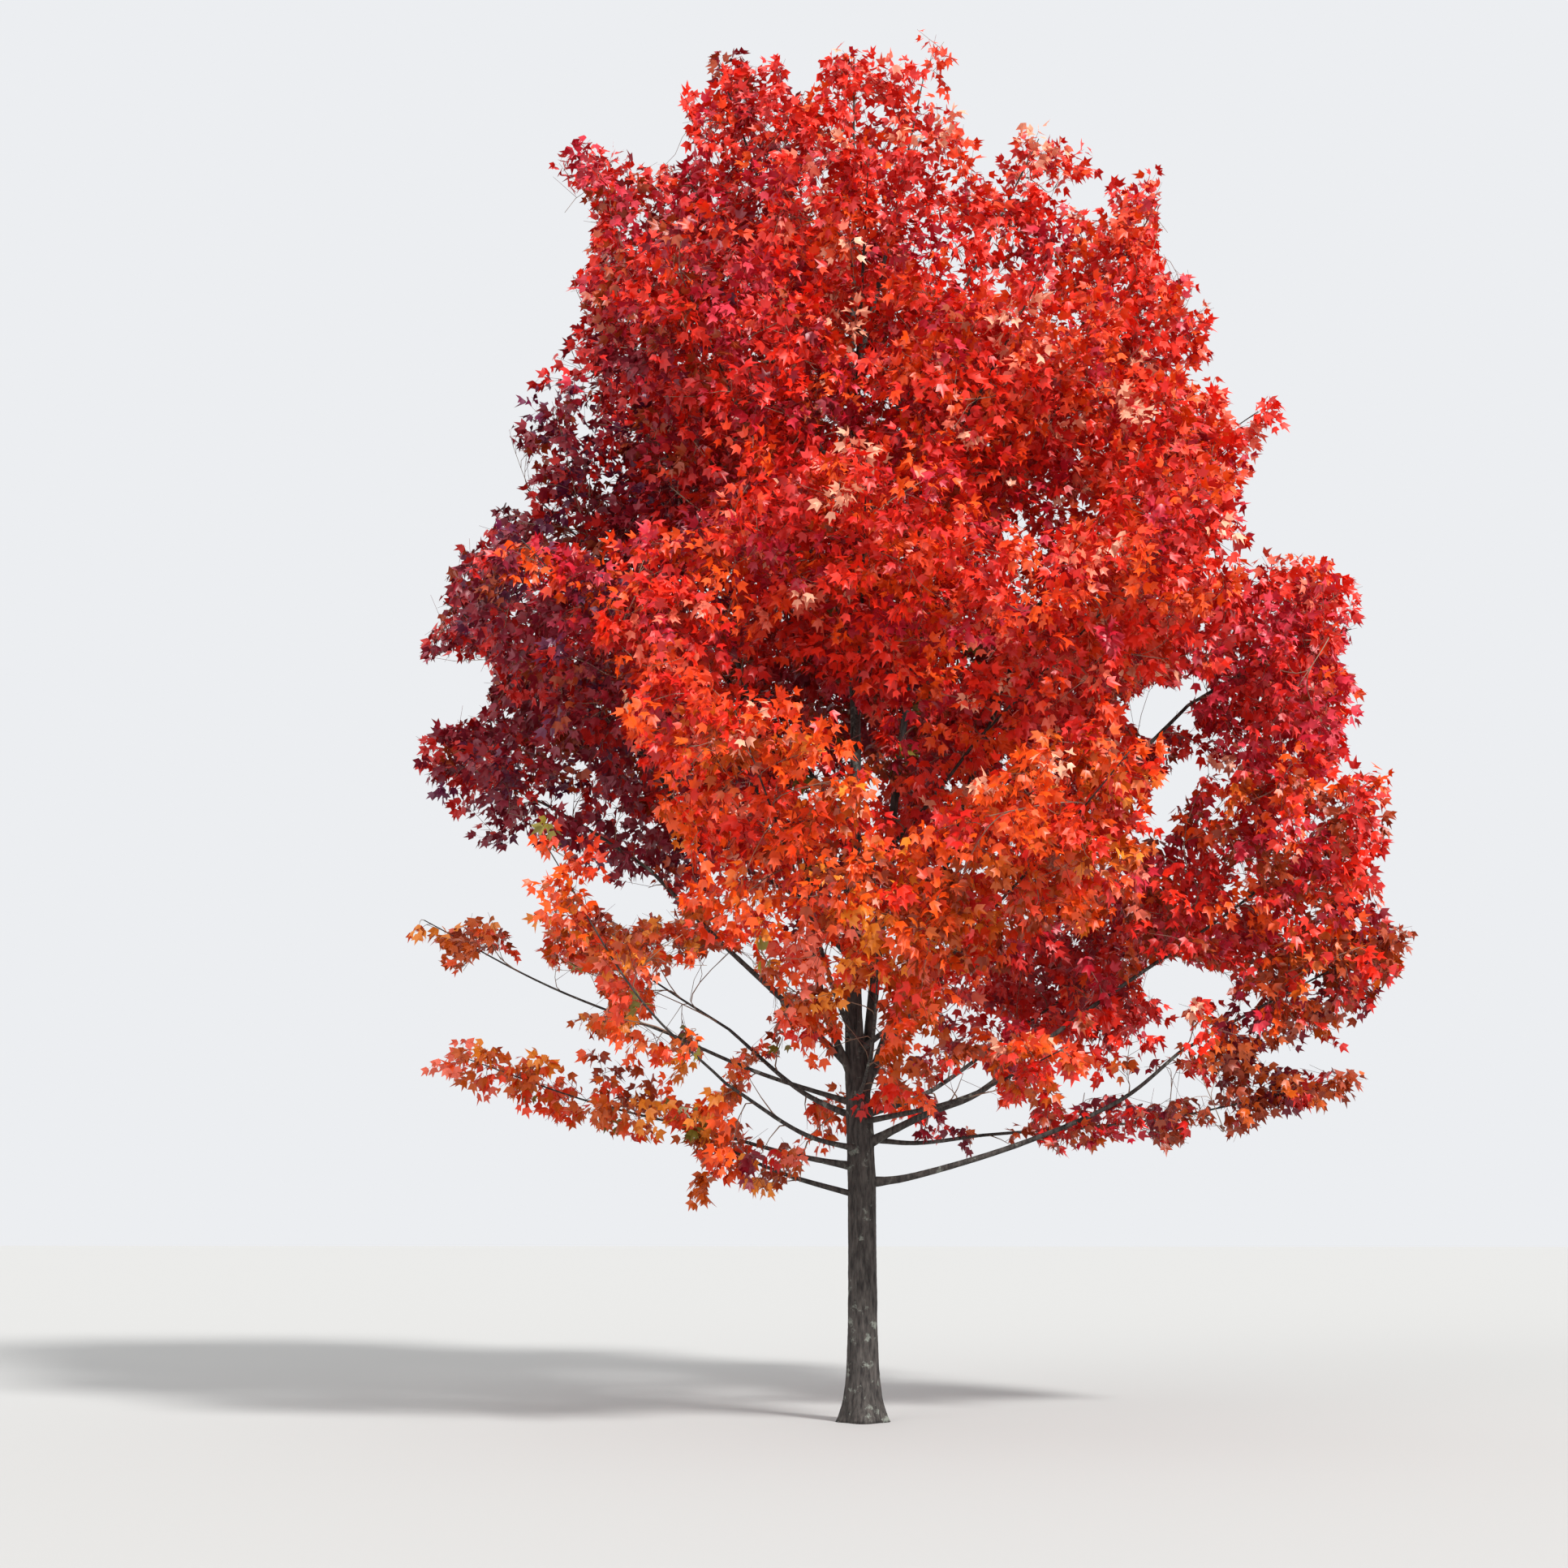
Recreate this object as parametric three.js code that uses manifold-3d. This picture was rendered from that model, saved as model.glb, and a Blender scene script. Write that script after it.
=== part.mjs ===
// A young maple in full autumn leaf: a leaning trunk, tapering boughs and the masses of foliage they carry.
// Millimetres, +Z up. The origin is the middle of the trunk's flat cut at ground level.
// The crown is seen as in its portrait along +Y, with +X to the right.

import * as THREE from 'three';
import { mergeVertices } from 'three/addons/utils/BufferGeometryUtils.js';
import Module from 'manifold-3d';

const wasm = await Module();
wasm.setup();

// Gaps: between limbs that meet, and between foliage and any limb it doesn't grow from.
const jointGap = 0.3;
const limbClearance = 22;
const finestDetail = 0.05;
const spaceMargin = 0.03;
const spaceReach = 1.08;
const groundClearance = 900;

// The eye of the portrait, from which the windows of sky in the crown are seen.
const eyeDistance = 18000;
const eyeHeight = 1600;

// The trunk: its centre line and its radius at heights above the ground.
const trunkLine = [[0, 0, 0], [0, 0, 1400], [-12, 0, 1900], [-50, 10, 2650], [-52, 20, 3400],
  [-30, 15, 4700], [-80, 0, 5550], [-60, -10, 6400], [-40, 0, 7350]];
const trunkGirth = [[0, 100], [1300, 94], [1900, 90], [2650, 60], [3400, 44], [4700, 35], [5600, 27],
  [7350, 13]];
const trunkSides = 12;
const trunkRings = 15;
const flareRadius = 62;
const flareHeight = 170;
const flareLobes = 4;
const lobeDepth = 0.13;

// Boughs: the height at which each leaves the trunk, the bends it runs through, its tip and its two radii.
// One without bends sweeps up through a single bend: its share of the way, and its drop as a share of it.
const sweepPlace = 0.45;
const sweepDrop = 0.05;
const boughSides = 5;
const boughs = {
  right_leader: {
    from: 1880,
    bends: [[60, 110, 2600], [150, 170, 3400], [410, 170, 5300]],
    tip: [880, 120, 6350],
    radii: [45, 14],
  },
  right_stem: {
    from: 2040,
    bends: [[250, -170, 2780], [510, -260, 3480], [755, -320, 4270]],
    tip: [1150, -350, 5350],
    radii: [27, 13],
  },
  upright_bough: {
    from: 2180,
    bends: [[-270, -150, 2820], [-400, -190, 3900], [-750, -200, 4830]],
    tip: [-1250, -150, 6300],
    radii: [27, 13],
  },
  left_spreading_bough: {
    from: 2290,
    bends: [[-500, -260, 2745], [-980, -420, 3190]],
    tip: [-1400, -520, 3620],
    radii: [23, 12],
  },
  upper_left_bough: {
    from: 3250,
    bends: [[-600, 110, 3600], [-1060, 160, 3850]],
    tip: [-1450, 150, 4450],
    radii: [20, 11],
  },
  middle_left_bough: {
    from: 3950,
    bends: [[-520, 10, 4550]],
    tip: [-1150, 0, 5250],
    radii: [20, 12],
  },
  low_left_bough: {
    from: 1660,
    bends: [[-400, -120, 1735], [-700, -200, 1810]],
    tip: [-1000, -260, 1900],
    radii: [22, 9],
  },
  left_layer_bough: {
    from: 2080,
    bends: [[-700, 60, 2300]],
    tip: [-1300, 50, 2560],
    radii: [18, 10],
  },
  right_big_bough: {
    from: 1800,
    bends: [[420, -120, 2010], [770, -170, 2150], [1120, -200, 2420]],
    tip: [1650, -220, 2800],
    radii: [27, 13],
  },
  right_upper_bough: {
    from: 2120,
    bends: [[380, 150, 2770], [1050, 280, 3470], [1520, 300, 3830], [1850, 250, 4390]],
    tip: [2270, 200, 4830],
    radii: [26, 12],
  },
  low_right_bough: {
    from: 1560,
    bends: [[360, -40, 1610], [1060, -100, 1820], [1710, -130, 2100]],
    tip: [2130, -130, 2430],
    radii: [25, 11],
  },
  level_bough: { from: 1860, tip: [820, 170, 1880], radii: [18, 11] },
  front_low_bough: { from: 2140, tip: [60, -800, 2380], radii: [16, 9] },
  cascade_bough: { from: 1780, tip: [-850, -1250, 2180], radii: [19, 10] },
  front_rising_bough: { from: 2520, tip: [-330, -1050, 3300], radii: [20, 11] },
  front_right_bough: { from: 2420, tip: [700, -1000, 3150], radii: [20, 11] },
  front_left_bough: { from: 3500, tip: [-800, -950, 4250], radii: [17, 10] },
  front_high_bough: { from: 3620, tip: [760, -1000, 4400], radii: [17, 10] },
  back_left_bough: { from: 3050, tip: [-860, 950, 4250], radii: [21, 11] },
  back_right_bough: { from: 3150, tip: [740, 1050, 4350], radii: [21, 11] },
  back_left_low_bough: { from: 1980, tip: [-950, 1150, 2650], radii: [22, 11] },
  back_low_bough: { from: 2000, tip: [1050, 1250, 2600], radii: [22, 11] },
};

// Foliage masses: the bough each grows on, or the height at which it leaves the trunk; its furthest tip; half
// its breadth round the crown and half its thickness; and the tone of its leaves.
const tones = {
  scarlet: 0xb81417,
  crimson: 0x96101f,
  orange: 0xc93a12,
  maroon: 0x5a0f26,
};
const masses = {
  top_spire: { from: 7350, tip: [-20, -50, 9600], spread: [600, 600], tone: 'scarlet' },
  top_left_spire: { from: 6900, tip: [-1040, 20, 9600], spread: [620, 520], tone: 'crimson' },
  top_right_spire: { from: 7050, tip: [640, -80, 9440], spread: [620, 500], tone: 'scarlet' },
  upper_front: { from: 6450, tip: [80, -1450, 8300], spread: [800, 560], tone: 'scarlet' },
  upper_back: { from: 6600, tip: [60, 1500, 8700], spread: [800, 560], tone: 'crimson' },
  upper_left: { from: 6250, tip: [-1250, -250, 8650], spread: [700, 560], tone: 'crimson' },
  upper_right: { from: 6350, tip: [1330, -150, 8920], spread: [700, 560], tone: 'scarlet' },
  upper_left_spire: { on: 'upright_bough', tip: [-1880, -40, 8820], spread: [850, 560], tone: 'crimson' },
  upper_right_spire: { on: 'right_leader', tip: [2230, 60, 8580], spread: [900, 780], tone: 'scarlet' },
  upper_front_left: { from: 5350, tip: [-1150, -1900, 7300], spread: [950, 620], tone: 'crimson' },
  upper_front_right: { from: 5500, tip: [1250, -1850, 7400], spread: [950, 620], tone: 'scarlet' },
  upper_back_left: { from: 5600, tip: [-1250, 1900, 7650], spread: [950, 620], tone: 'crimson' },
  upper_back_right: { from: 5750, tip: [1300, 1850, 7800], spread: [950, 600], tone: 'scarlet' },
  middle_left: { on: 'middle_left_bough', tip: [-2620, -50, 6640], spread: [1000, 640], tone: 'maroon' },
  lower_left: { on: 'upper_left_bough', tip: [-3000, 100, 5650], spread: [820, 460], tone: 'maroon' },
  middle_right: { on: 'right_stem', tip: [2840, -150, 6900], spread: [1050, 660], tone: 'scarlet' },
  front: { from: 4500, tip: [50, -2650, 5900], spread: [950, 620], tone: 'scarlet' },
  back: { from: 4750, tip: [-50, 2800, 6200], spread: [1000, 650], tone: 'crimson' },
  left_shoulder: { on: 'left_spreading_bough', tip: [-2800, -450, 4400], spread: [800, 420], tone: 'maroon' },
  left_layer: { on: 'left_layer_bough', tip: [-3080, -50, 3380], spread: [650, 230], tone: 'orange' },
  lowest_left_spray: { on: 'low_left_bough', tip: [-2700, -480, 2400], spread: [520, 250], tone: 'orange' },
  drooping_spray: { from: 1470, tip: [-1250, -500, 1960], spread: [350, 260], tone: 'orange' },
  right_lobe: { on: 'right_upper_bough', tip: [3500, 0, 5380], spread: [1000, 780], tone: 'scarlet' },
  right_low: { on: 'right_big_bough', tip: [3640, -100, 4350], spread: [950, 620], tone: 'crimson' },
  right_low_tip: { on: 'low_right_bough', tip: [3720, 60, 3250], spread: [700, 330], tone: 'crimson' },
  lowest_right_spray: { on: 'level_bough', tip: [3450, 300, 2300], spread: [600, 300], tone: 'crimson' },
  front_low_spray: { on: 'front_low_bough', tip: [80, -2450, 3550], spread: [700, 420], tone: 'orange' },
  front_right_spray: { from: 1960, tip: [1350, -1600, 2420], spread: [450, 240], tone: 'scarlet' },
  front_left_cascade: { on: 'cascade_bough', tip: [-1950, -2150, 3650], spread: [620, 360], tone: 'orange' },
  front_left_low: { on: 'front_rising_bough', tip: [-750, -2850, 4350], spread: [800, 480], tone: 'scarlet' },
  front_right_low: { on: 'front_right_bough', tip: [1650, -2500, 4150], spread: [950, 480], tone: 'scarlet' },
  front_left: { on: 'front_left_bough', tip: [-2150, -2150, 5550], spread: [950, 560], tone: 'scarlet' },
  front_right: { on: 'front_high_bough', tip: [2150, -2150, 5700], spread: [1050, 600], tone: 'scarlet' },
  back_left: { on: 'back_left_bough', tip: [-2250, 2150, 5500], spread: [1100, 620], tone: 'maroon' },
  back_right: { on: 'back_right_bough', tip: [2200, 2250, 5700], spread: [1100, 620], tone: 'crimson' },
  back_left_low: { on: 'back_left_low_bough', tip: [-2250, 2400, 3550], spread: [1100, 420], tone: 'orange' },
  back_right_low: { on: 'back_low_bough', tip: [2400, 2400, 3750], spread: [1100, 480], tone: 'crimson' },
};

// Windows of sky that show right through the crown: middle and half sizes, across and up, at the trunk.
const skyWindows = [
  { middle: [2050, 4780], half: [230, 190] },
  { middle: [-1000, 2760], half: [360, 320] },
  { middle: [-550, 2150], half: [300, 240] },
  { middle: [-1550, 3440], half: [240, 90] },
  { middle: [-2300, 2820], half: [520, 200] },
  { middle: [-2750, 3640], half: [400, 260] },
  { middle: [-2850, 4940], half: [280, 180] },
  { middle: [2180, 2900], half: [280, 170] },
  { middle: [720, 2160], half: [200, 130] },
  { middle: [2020, 2220], half: [340, 110] },
  { middle: [3100, 2380], half: [400, 60] },
];

// Stems and twigs: half widths, how far a twig leans along its stem, how far a stem sags as a share of its
// length, and how far a mass stands off the trunk as a share of its way to its tip.
const stemGirth = [22, 16];
const twigGirth = 5.5;
const branchingLean = 0.6;
const stemDrop = 0.04;
const trunkStandOff = 0.12;

// Leaves. Each stands for a spray of real ones and takes the first length that fits its place. Its lobes are
// its widest part; the lobes' place, half the width and the leaf's middle are shares of its length.
const leafLengths = [820, 740, 660, 580, 500, 420, 340];
const headingsTried = 8;
const leafThickness = 12;
const lobePlace = 0.36;
const lobeHalfWidth = 0.5;
const leafMiddle = 0.42;

// The leaf at a mass's furthest tip: its longest length as a share of the mass's half thickness and length.
const tipLeafShare = 1.5;
const longestTipLeaf = 0.4;

// Places for leaves: how many are drawn in each mass, along what stretch of it, and how far apart the kept
// ones are as a share of the mass's half thickness.
const placesDrawn = 300;
const placesFrom = -0.6;
const placesTo = 0.92;
const spacingShare = 0.8;
const leastSpacing = 340;
const mostSpacing = 520;

const up = new THREE.Vector3(0, 0, 1);
const vector = (numbers) => new THREE.Vector3(...numbers);

// A seeded dealer of numbers from 0 to 1.
function dealer(seed) {
  let state = (seed * 7919 + 104729) % 2147483647;
  const draw = () => {
    state = (state * 48271) % 2147483647;
    return state / 2147483647;
  };
  draw();
  draw();
  return draw;
}

function radiusAtHeight(height) {
  const next = Math.max(1, trunkGirth.findIndex(([top]) => top >= height));
  const [low, lowRadius] = trunkGirth[next - 1];
  const [high, highRadius] = trunkGirth[next];
  const share = THREE.MathUtils.clamp((height - low) / (high - low), 0, 1);
  return THREE.MathUtils.lerp(lowRadius, highRadius, share);
}

const trunkCurve = new THREE.CatmullRomCurve3(trunkLine.map(vector), false, 'catmullrom', 0.5);
const trunkHeight = trunkLine.at(-1)[2];

// The trunk's centre at a height, by halving the stretch of the curve that holds it.
function trunkCentre(height) {
  let low = 0;
  let high = 1;
  for (let halving = 0; halving < 40; halving += 1) {
    const middle = (low + high) / 2;
    if (trunkCurve.getPoint(middle).z < height) low = middle;
    else high = middle;
  }
  return trunkCurve.getPoint(low);
}

// A closed tapering limb: a cylinder bent along a curve, with its rings where the stations say, and larger by
// an extra all round and at both ends.
function limbGeometry(curve, sides, stations, radiusAt, extra) {
  const rings = stations.length - 1;
  const frameCount = 240;
  const frames = curve.computeFrenetFrames(frameCount, false);
  const geometry = new THREE.CylinderGeometry(1, 1, 1, sides, rings);
  const position = geometry.attributes.position;
  for (let index = 0; index < position.count; index += 1) {
    const station = stations[Math.round((position.getY(index) + 0.5) * rings)];
    const across = position.getX(index);
    const along = position.getZ(index);
    const centre = curve.getPointAt(station);
    const frame = Math.round(station * frameCount);
    const radius = radiusAt(station, Math.atan2(along, across), centre) + extra;
    if (station === 0) centre.addScaledVector(curve.getTangentAt(0), -extra);
    if (station === 1) centre.addScaledVector(curve.getTangentAt(1), extra);
    const point = centre.addScaledVector(frames.binormals[frame], across * radius);
    point.addScaledVector(frames.normals[frame], along * radius);
    position.setXYZ(index, point.x, point.y, point.z);
  }
  return geometry;
}

function evenStations(rings) {
  return Array.from({ length: rings + 1 }, (_, ring) => ring / rings);
}

function toSolid(geometry) {
  const plain = geometry.clone();
  plain.deleteAttribute('normal');
  plain.deleteAttribute('uv');
  const merged = mergeVertices(plain, 1e-4);
  return new wasm.Manifold(new wasm.Mesh({
    numProp: 3,
    vertProperties: Float32Array.from(merged.attributes.position.array),
    triVerts: Uint32Array.from(merged.index.array),
  }));
}

function toMesh(name, solid, material) {
  const pieces = solid.simplify(finestDetail).decompose();
  const main = pieces.reduce((best, piece) => (piece.volume() > best.volume() ? piece : best));
  const mesh = main.getMesh();
  const geometry = new THREE.BufferGeometry();
  geometry.setAttribute('position', new THREE.BufferAttribute(Float32Array.from(mesh.vertProperties), 3));
  geometry.setIndex(new THREE.BufferAttribute(Uint32Array.from(mesh.triVerts), 1));
  geometry.computeVertexNormals();
  const result = new THREE.Mesh(geometry, material);
  result.name = name;
  return result;
}

// The trunk, with a fluted flare at its root and a level cut at the ground.
function trunkGeometry(extra) {
  const stations = Array.from({ length: trunkRings + 1 }, (_, ring) => (ring / trunkRings) ** 1.7);
  const geometry = limbGeometry(trunkCurve, trunkSides, stations, (station, angle, centre) => {
    const fade = Math.exp(-Math.max(centre.z, 0) / flareHeight);
    const flutes = 1 + lobeDepth * fade * Math.cos(flareLobes * angle);
    return (radiusAtHeight(centre.z) + flareRadius * fade) * flutes;
  }, extra);
  const position = geometry.attributes.position;
  for (let index = 0; index < position.count; index += 1) {
    if (position.getZ(index) < 1) position.setZ(index, -extra);
  }
  return geometry;
}

function curveThrough(points) {
  return new THREE.CatmullRomCurve3(points, false, 'catmullrom', 0.5);
}

// Points along a limb's middle with their radii, and the box that holds whatever is near the limb.
function limbPath(curve, radiusAt, count) {
  const points = evenStations(count).map((station) => curve.getPointAt(station));
  const radii = points.map((point, order) => radiusAt(order / count, 0, point));
  const box = new THREE.Box3().setFromPoints(points).expandByScalar(Math.max(...radii) + limbClearance);
  return { points, radii, box };
}

function isNearPath(point, { points, radii, box }, clearance) {
  if (!box.containsPoint(point)) return false;
  const segment = new THREE.Line3();
  const closest = new THREE.Vector3();
  return points.slice(1).some((end, order) => {
    segment.set(points[order], end);
    segment.closestPointToPoint(point, true, closest);
    return closest.distanceTo(point) < clearance + Math.max(radii[order], radii[order + 1]);
  });
}

const barkMaterial = new THREE.MeshStandardMaterial({ color: 0x4a4644, roughness: 0.92, metalness: 0 });
const leafMaterials = Object.fromEntries(Object.entries(tones).map(([tone, color]) => [
  tone,
  new THREE.MeshStandardMaterial({ color, roughness: 0.6, metalness: 0 }),
]));

const limbPaths = {};
const tree = new THREE.Group();

const trunkRadiusAt = (station, angle, centre) => radiusAtHeight(centre.z);
limbPaths.trunk = limbPath(trunkCurve, trunkRadiusAt, 40);
tree.add(toMesh('trunk', toSolid(trunkGeometry(0)), barkMaterial));

// What each limb takes out of whatever meets it: itself and the gap round it.
const limbCutters = [toSolid(trunkGeometry(jointGap))];

function cutByLimbs(solid) {
  return limbCutters.reduce((rest, cutter) => rest.subtract(cutter), solid);
}

// A bough from the middle of the trunk to its tip, cut where it leaves the trunk or an earlier bough.
function makeBough(name, { from, bends, tip, radii }) {
  const [footRadius, tipRadius] = radii;
  const foot = trunkCentre(from);
  const end = vector(tip);
  const sweep = foot.clone().lerp(end, sweepPlace).addScaledVector(up, -sweepDrop * foot.distanceTo(end));
  const curve = curveThrough([foot, ...(bends ? bends.map(vector) : [sweep]), end]);
  const length = curve.getLength();
  const radiusAt = (station) => {
    const collar = 0.3 * footRadius * Math.exp((-station * length) / 120);
    return THREE.MathUtils.lerp(footRadius, tipRadius, station ** 0.85) + collar;
  };
  limbPaths[name] = limbPath(curve, radiusAt, 24);
  const stations = evenStations(curve.points.length);
  const bough = toSolid(limbGeometry(curve, boughSides, stations, radiusAt, 0));
  const mesh = toMesh(name, cutByLimbs(bough), barkMaterial);
  limbCutters.push(toSolid(limbGeometry(curve, boughSides, stations, radiusAt, jointGap)));
  return mesh;
}

for (const [name, bough] of Object.entries(boughs)) {
  tree.add(makeBough(name, bough));
}

// A mass's space: an egg from its root to its furthest tip, with its own three directions.
function massSpace(name, mass) {
  const tip = vector(mass.tip);
  const foot = mass.on ? vector(boughs[mass.on].tip) : trunkCentre(mass.from);
  const root = mass.on ? foot.clone() : foot.clone().lerp(tip, trunkStandOff);
  const centre = root.clone().lerp(tip, 0.5);
  const outward = new THREE.Vector3(centre.x, centre.y, 0);
  if (outward.length() < 300) outward.set(1, 0, 0);
  const along = tip.clone().sub(root);
  const reach = along.length() / 2;
  along.normalize();
  const side = up.clone().cross(outward.normalize());
  side.addScaledVector(along, -side.dot(along)).normalize();
  const thick = along.clone().cross(side);
  return { name, foot, root, tip, centre, along, side, thick, halves: [reach, ...mass.spread] };
}

const spaces = Object.entries(masses).map(([name, mass]) => massSpace(name, mass));

function depthInSpace(point, space) {
  const offset = point.clone().sub(space.centre);
  return Math.hypot(
    offset.dot(space.along) / space.halves[0],
    offset.dot(space.side) / space.halves[1],
    offset.dot(space.thick) / space.halves[2],
  );
}

function pointInSpace(space, along, side, thick) {
  return space.centre.clone()
    .addScaledVector(space.along, along * space.halves[0])
    .addScaledVector(space.side, side * space.halves[1])
    .addScaledVector(space.thick, thick * space.halves[2]);
}

// Whether a point is seen from the eye through a window of sky.
function inSkyWindow(point) {
  const scale = eyeDistance / (eyeDistance + point.y);
  const across = point.x * scale;
  const height = eyeHeight + (point.z - eyeHeight) * scale;
  return skyWindows.some(({ middle, half }) => (
    Math.hypot((across - middle[0]) / half[0], (height - middle[1]) / half[1]) < 1
  ));
}

// Each mass's stem: from the bough's tip, or the trunk, to the foot of the leaf at its furthest tip.
const stems = spaces.map((space) => {
  const mass = masses[space.name];
  const path = limbPaths[mass.on ?? 'trunk'];
  const atTip = mass.on !== undefined || mass.from >= trunkHeight;
  const reach = 2 * space.halves[0];
  const tipLeaf = Math.min(leafLengths[0], tipLeafShare * space.halves[2], longestTipLeaf * reach);
  const end = space.tip.clone().addScaledVector(space.along, -tipLeaf);
  const span = space.foot.distanceTo(end);
  const middle = space.foot.clone().lerp(end, 0.5).addScaledVector(up, -stemDrop * span);
  if (atTip) {
    const heading = path.points.at(-1).clone().sub(path.points.at(-2)).normalize();
    middle.lerp(space.foot.clone().addScaledVector(heading, 0.5 * span), 0.35);
  }
  const curve = curveThrough([space.foot, middle, end]);
  const footRadius = atTip ? path.radii.at(-1) : stemGirth[0];
  const radiusAt = (station) => THREE.MathUtils.lerp(footRadius, stemGirth[1], station);
  return { curve, radiusAt, path: limbPath(curve, radiusAt, 12) };
});

// A point is free for a mass when it lies in the mass's own space and clear of every limb and other stem.
function isFree(point, index) {
  if (point.z < groundClearance) return false;
  if (!isNearPath(point, stems[index].path, limbClearance / 2)) {
    const depth = depthInSpace(point, spaces[index]);
    const taken = spaces.some((space, other) => (
      other !== index && depthInSpace(point, space) < depth + spaceMargin
    ));
    if (depth > spaceReach || taken || inSkyWindow(point)) return false;
  }
  return Object.values(limbPaths).every((path) => !isNearPath(point, path, limbClearance))
    && stems.every((stem, other) => other === index || !isNearPath(point, stem.path, limbClearance));
}

// A closed three-sided body through sections, each with its middle, heading, half width and thickness.
// The last section is a point, and so is the first where the body has no foot.
function bladeGeometry(sections, facing, hasFoot) {
  const rings = sections.length - 1;
  const geometry = new THREE.CylinderGeometry(0, hasFoot ? 1 : 0, 1, 3, rings);
  const position = geometry.attributes.position;
  const wallCount = (rings + 1) * 4;
  for (let index = 0; index < position.count; index += 1) {
    const onWall = index < wallCount;
    const section = sections[onWall ? rings - Math.floor(index / 4) : 0];
    const footMiddle = !onWall && index - wallCount < 3;
    const corner = onWall ? (index % 4) % 3 : (index - wallCount - 3) % 3;
    const side = section.heading.clone().cross(facing).normalize();
    const normal = side.clone().cross(section.heading).normalize();
    const point = section.middle.clone();
    if (!footMiddle && corner === 0) point.addScaledVector(normal, section.thickness * 0.6);
    if (!footMiddle && corner > 0) {
      point.addScaledVector(normal, -section.thickness * 0.4);
      point.addScaledVector(side, corner === 1 ? section.halfWidth : -section.halfWidth);
    }
    position.setXYZ(index, point.x, point.y, point.z);
  }
  return geometry;
}

// The sections of a leaf: its lobes and its tip.
function leafSections(foot, heading, length) {
  const section = (along, halfWidth, thickness) => ({
    middle: foot.clone().addScaledVector(heading, along * length),
    heading,
    halfWidth: halfWidth * length,
    thickness,
  });
  return [section(lobePlace, lobeHalfWidth, leafThickness), section(1, 0, 0)];
}

// The sections of a twig along a curve, at even stations.
function twigSections(curve, steps, girthAt) {
  return evenStations(steps).map((station) => ({
    middle: curve.getPointAt(station),
    heading: curve.getTangentAt(station),
    halfWidth: girthAt(station),
    thickness: 1.5 * girthAt(station),
  }));
}

// Whether a body through these sections is free: its middle and both sides, and points between sections.
function sectionsAreFree(sections, facing, index) {
  const rims = sections.map(({ middle, heading, halfWidth }) => {
    const side = heading.clone().cross(facing).normalize().multiplyScalar(halfWidth);
    return [middle, middle.clone().add(side), middle.clone().sub(side)];
  });
  return rims.every((rim, order) => {
    const before = rims[Math.max(0, order - 1)];
    return rim.every((point, corner) => (
      isFree(point, index)
      && isFree(point.clone().lerp(before[corner], 0.33), index)
      && isFree(point.clone().lerp(before[corner], 0.67), index)
    ));
  });
}

function spread(draw, amount) {
  return new THREE.Vector3(draw() - 0.5, draw() - 0.5, draw() - 0.5).multiplyScalar(amount);
}

// The way a leaf faces: outwards and up, with some play.
function leafFacing(point, draw) {
  return new THREE.Vector3(point.x, point.y, 0).normalize().multiplyScalar(0.6)
    .addScaledVector(up, 0.5).add(spread(draw, 1.5)).normalize();
}

// A place in a mass's space, drawn evenly from it.
function drawPlace(space, draw) {
  const along = THREE.MathUtils.lerp(placesFrom, placesTo, draw());
  const radial = Math.sqrt(draw() * (1 - along * along));
  const turn = 2 * Math.PI * draw();
  return pointInSpace(space, along, radial * Math.cos(turn), radial * Math.sin(turn));
}

// The point of a stem that a twig to a place leaves from: behind the nearest point, by the branching lean.
function twigFoot(stem, place) {
  const length = stem.curve.getLength();
  const nearest = evenStations(24).reduce((best, station) => {
    const distance = stem.curve.getPointAt(station).distanceTo(place);
    return distance < best.distance ? { station, distance } : best;
  }, { station: 0, distance: Infinity });
  const station = nearest.station - (branchingLean * nearest.distance) / length;
  return stem.curve.getPointAt(THREE.MathUtils.clamp(station, 0.12, 0.97));
}

// A twig that ends in a leaf at a place, in the largest length that fits, or null where none does. It cuts
// into its mass only where it joins the stem.
function growTwig(index, place, mass, draw) {
  const foot = twigFoot(stems[index], place);
  const heading = place.clone().sub(foot).normalize();
  for (const length of leafLengths.flatMap((each) => Array(headingsTried).fill(each))) {
    const facing = leafFacing(place, draw);
    const leafHeading = heading.clone().addScaledVector(up, -0.15).add(spread(draw, 1)).normalize();
    const leafFoot = place.clone().addScaledVector(leafHeading, -leafMiddle * length);
    const curve = new THREE.LineCurve3(foot, leafFoot);
    const twig = twigSections(curve, 1, () => twigGirth);
    const leaf = leafSections(leafFoot, leafHeading, length);
    const twigIsFree = evenStations(6).every((station) => isFree(curve.getPoint(station), index));
    if (twigIsFree && sectionsAreFree([twig[1], ...leaf], facing, index)) {
      const body = toSolid(bladeGeometry([...twig, ...leaf], facing, true));
      if (body.intersect(mass).decompose().length === 1) return body;
    }
  }
  return null;
}

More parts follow.
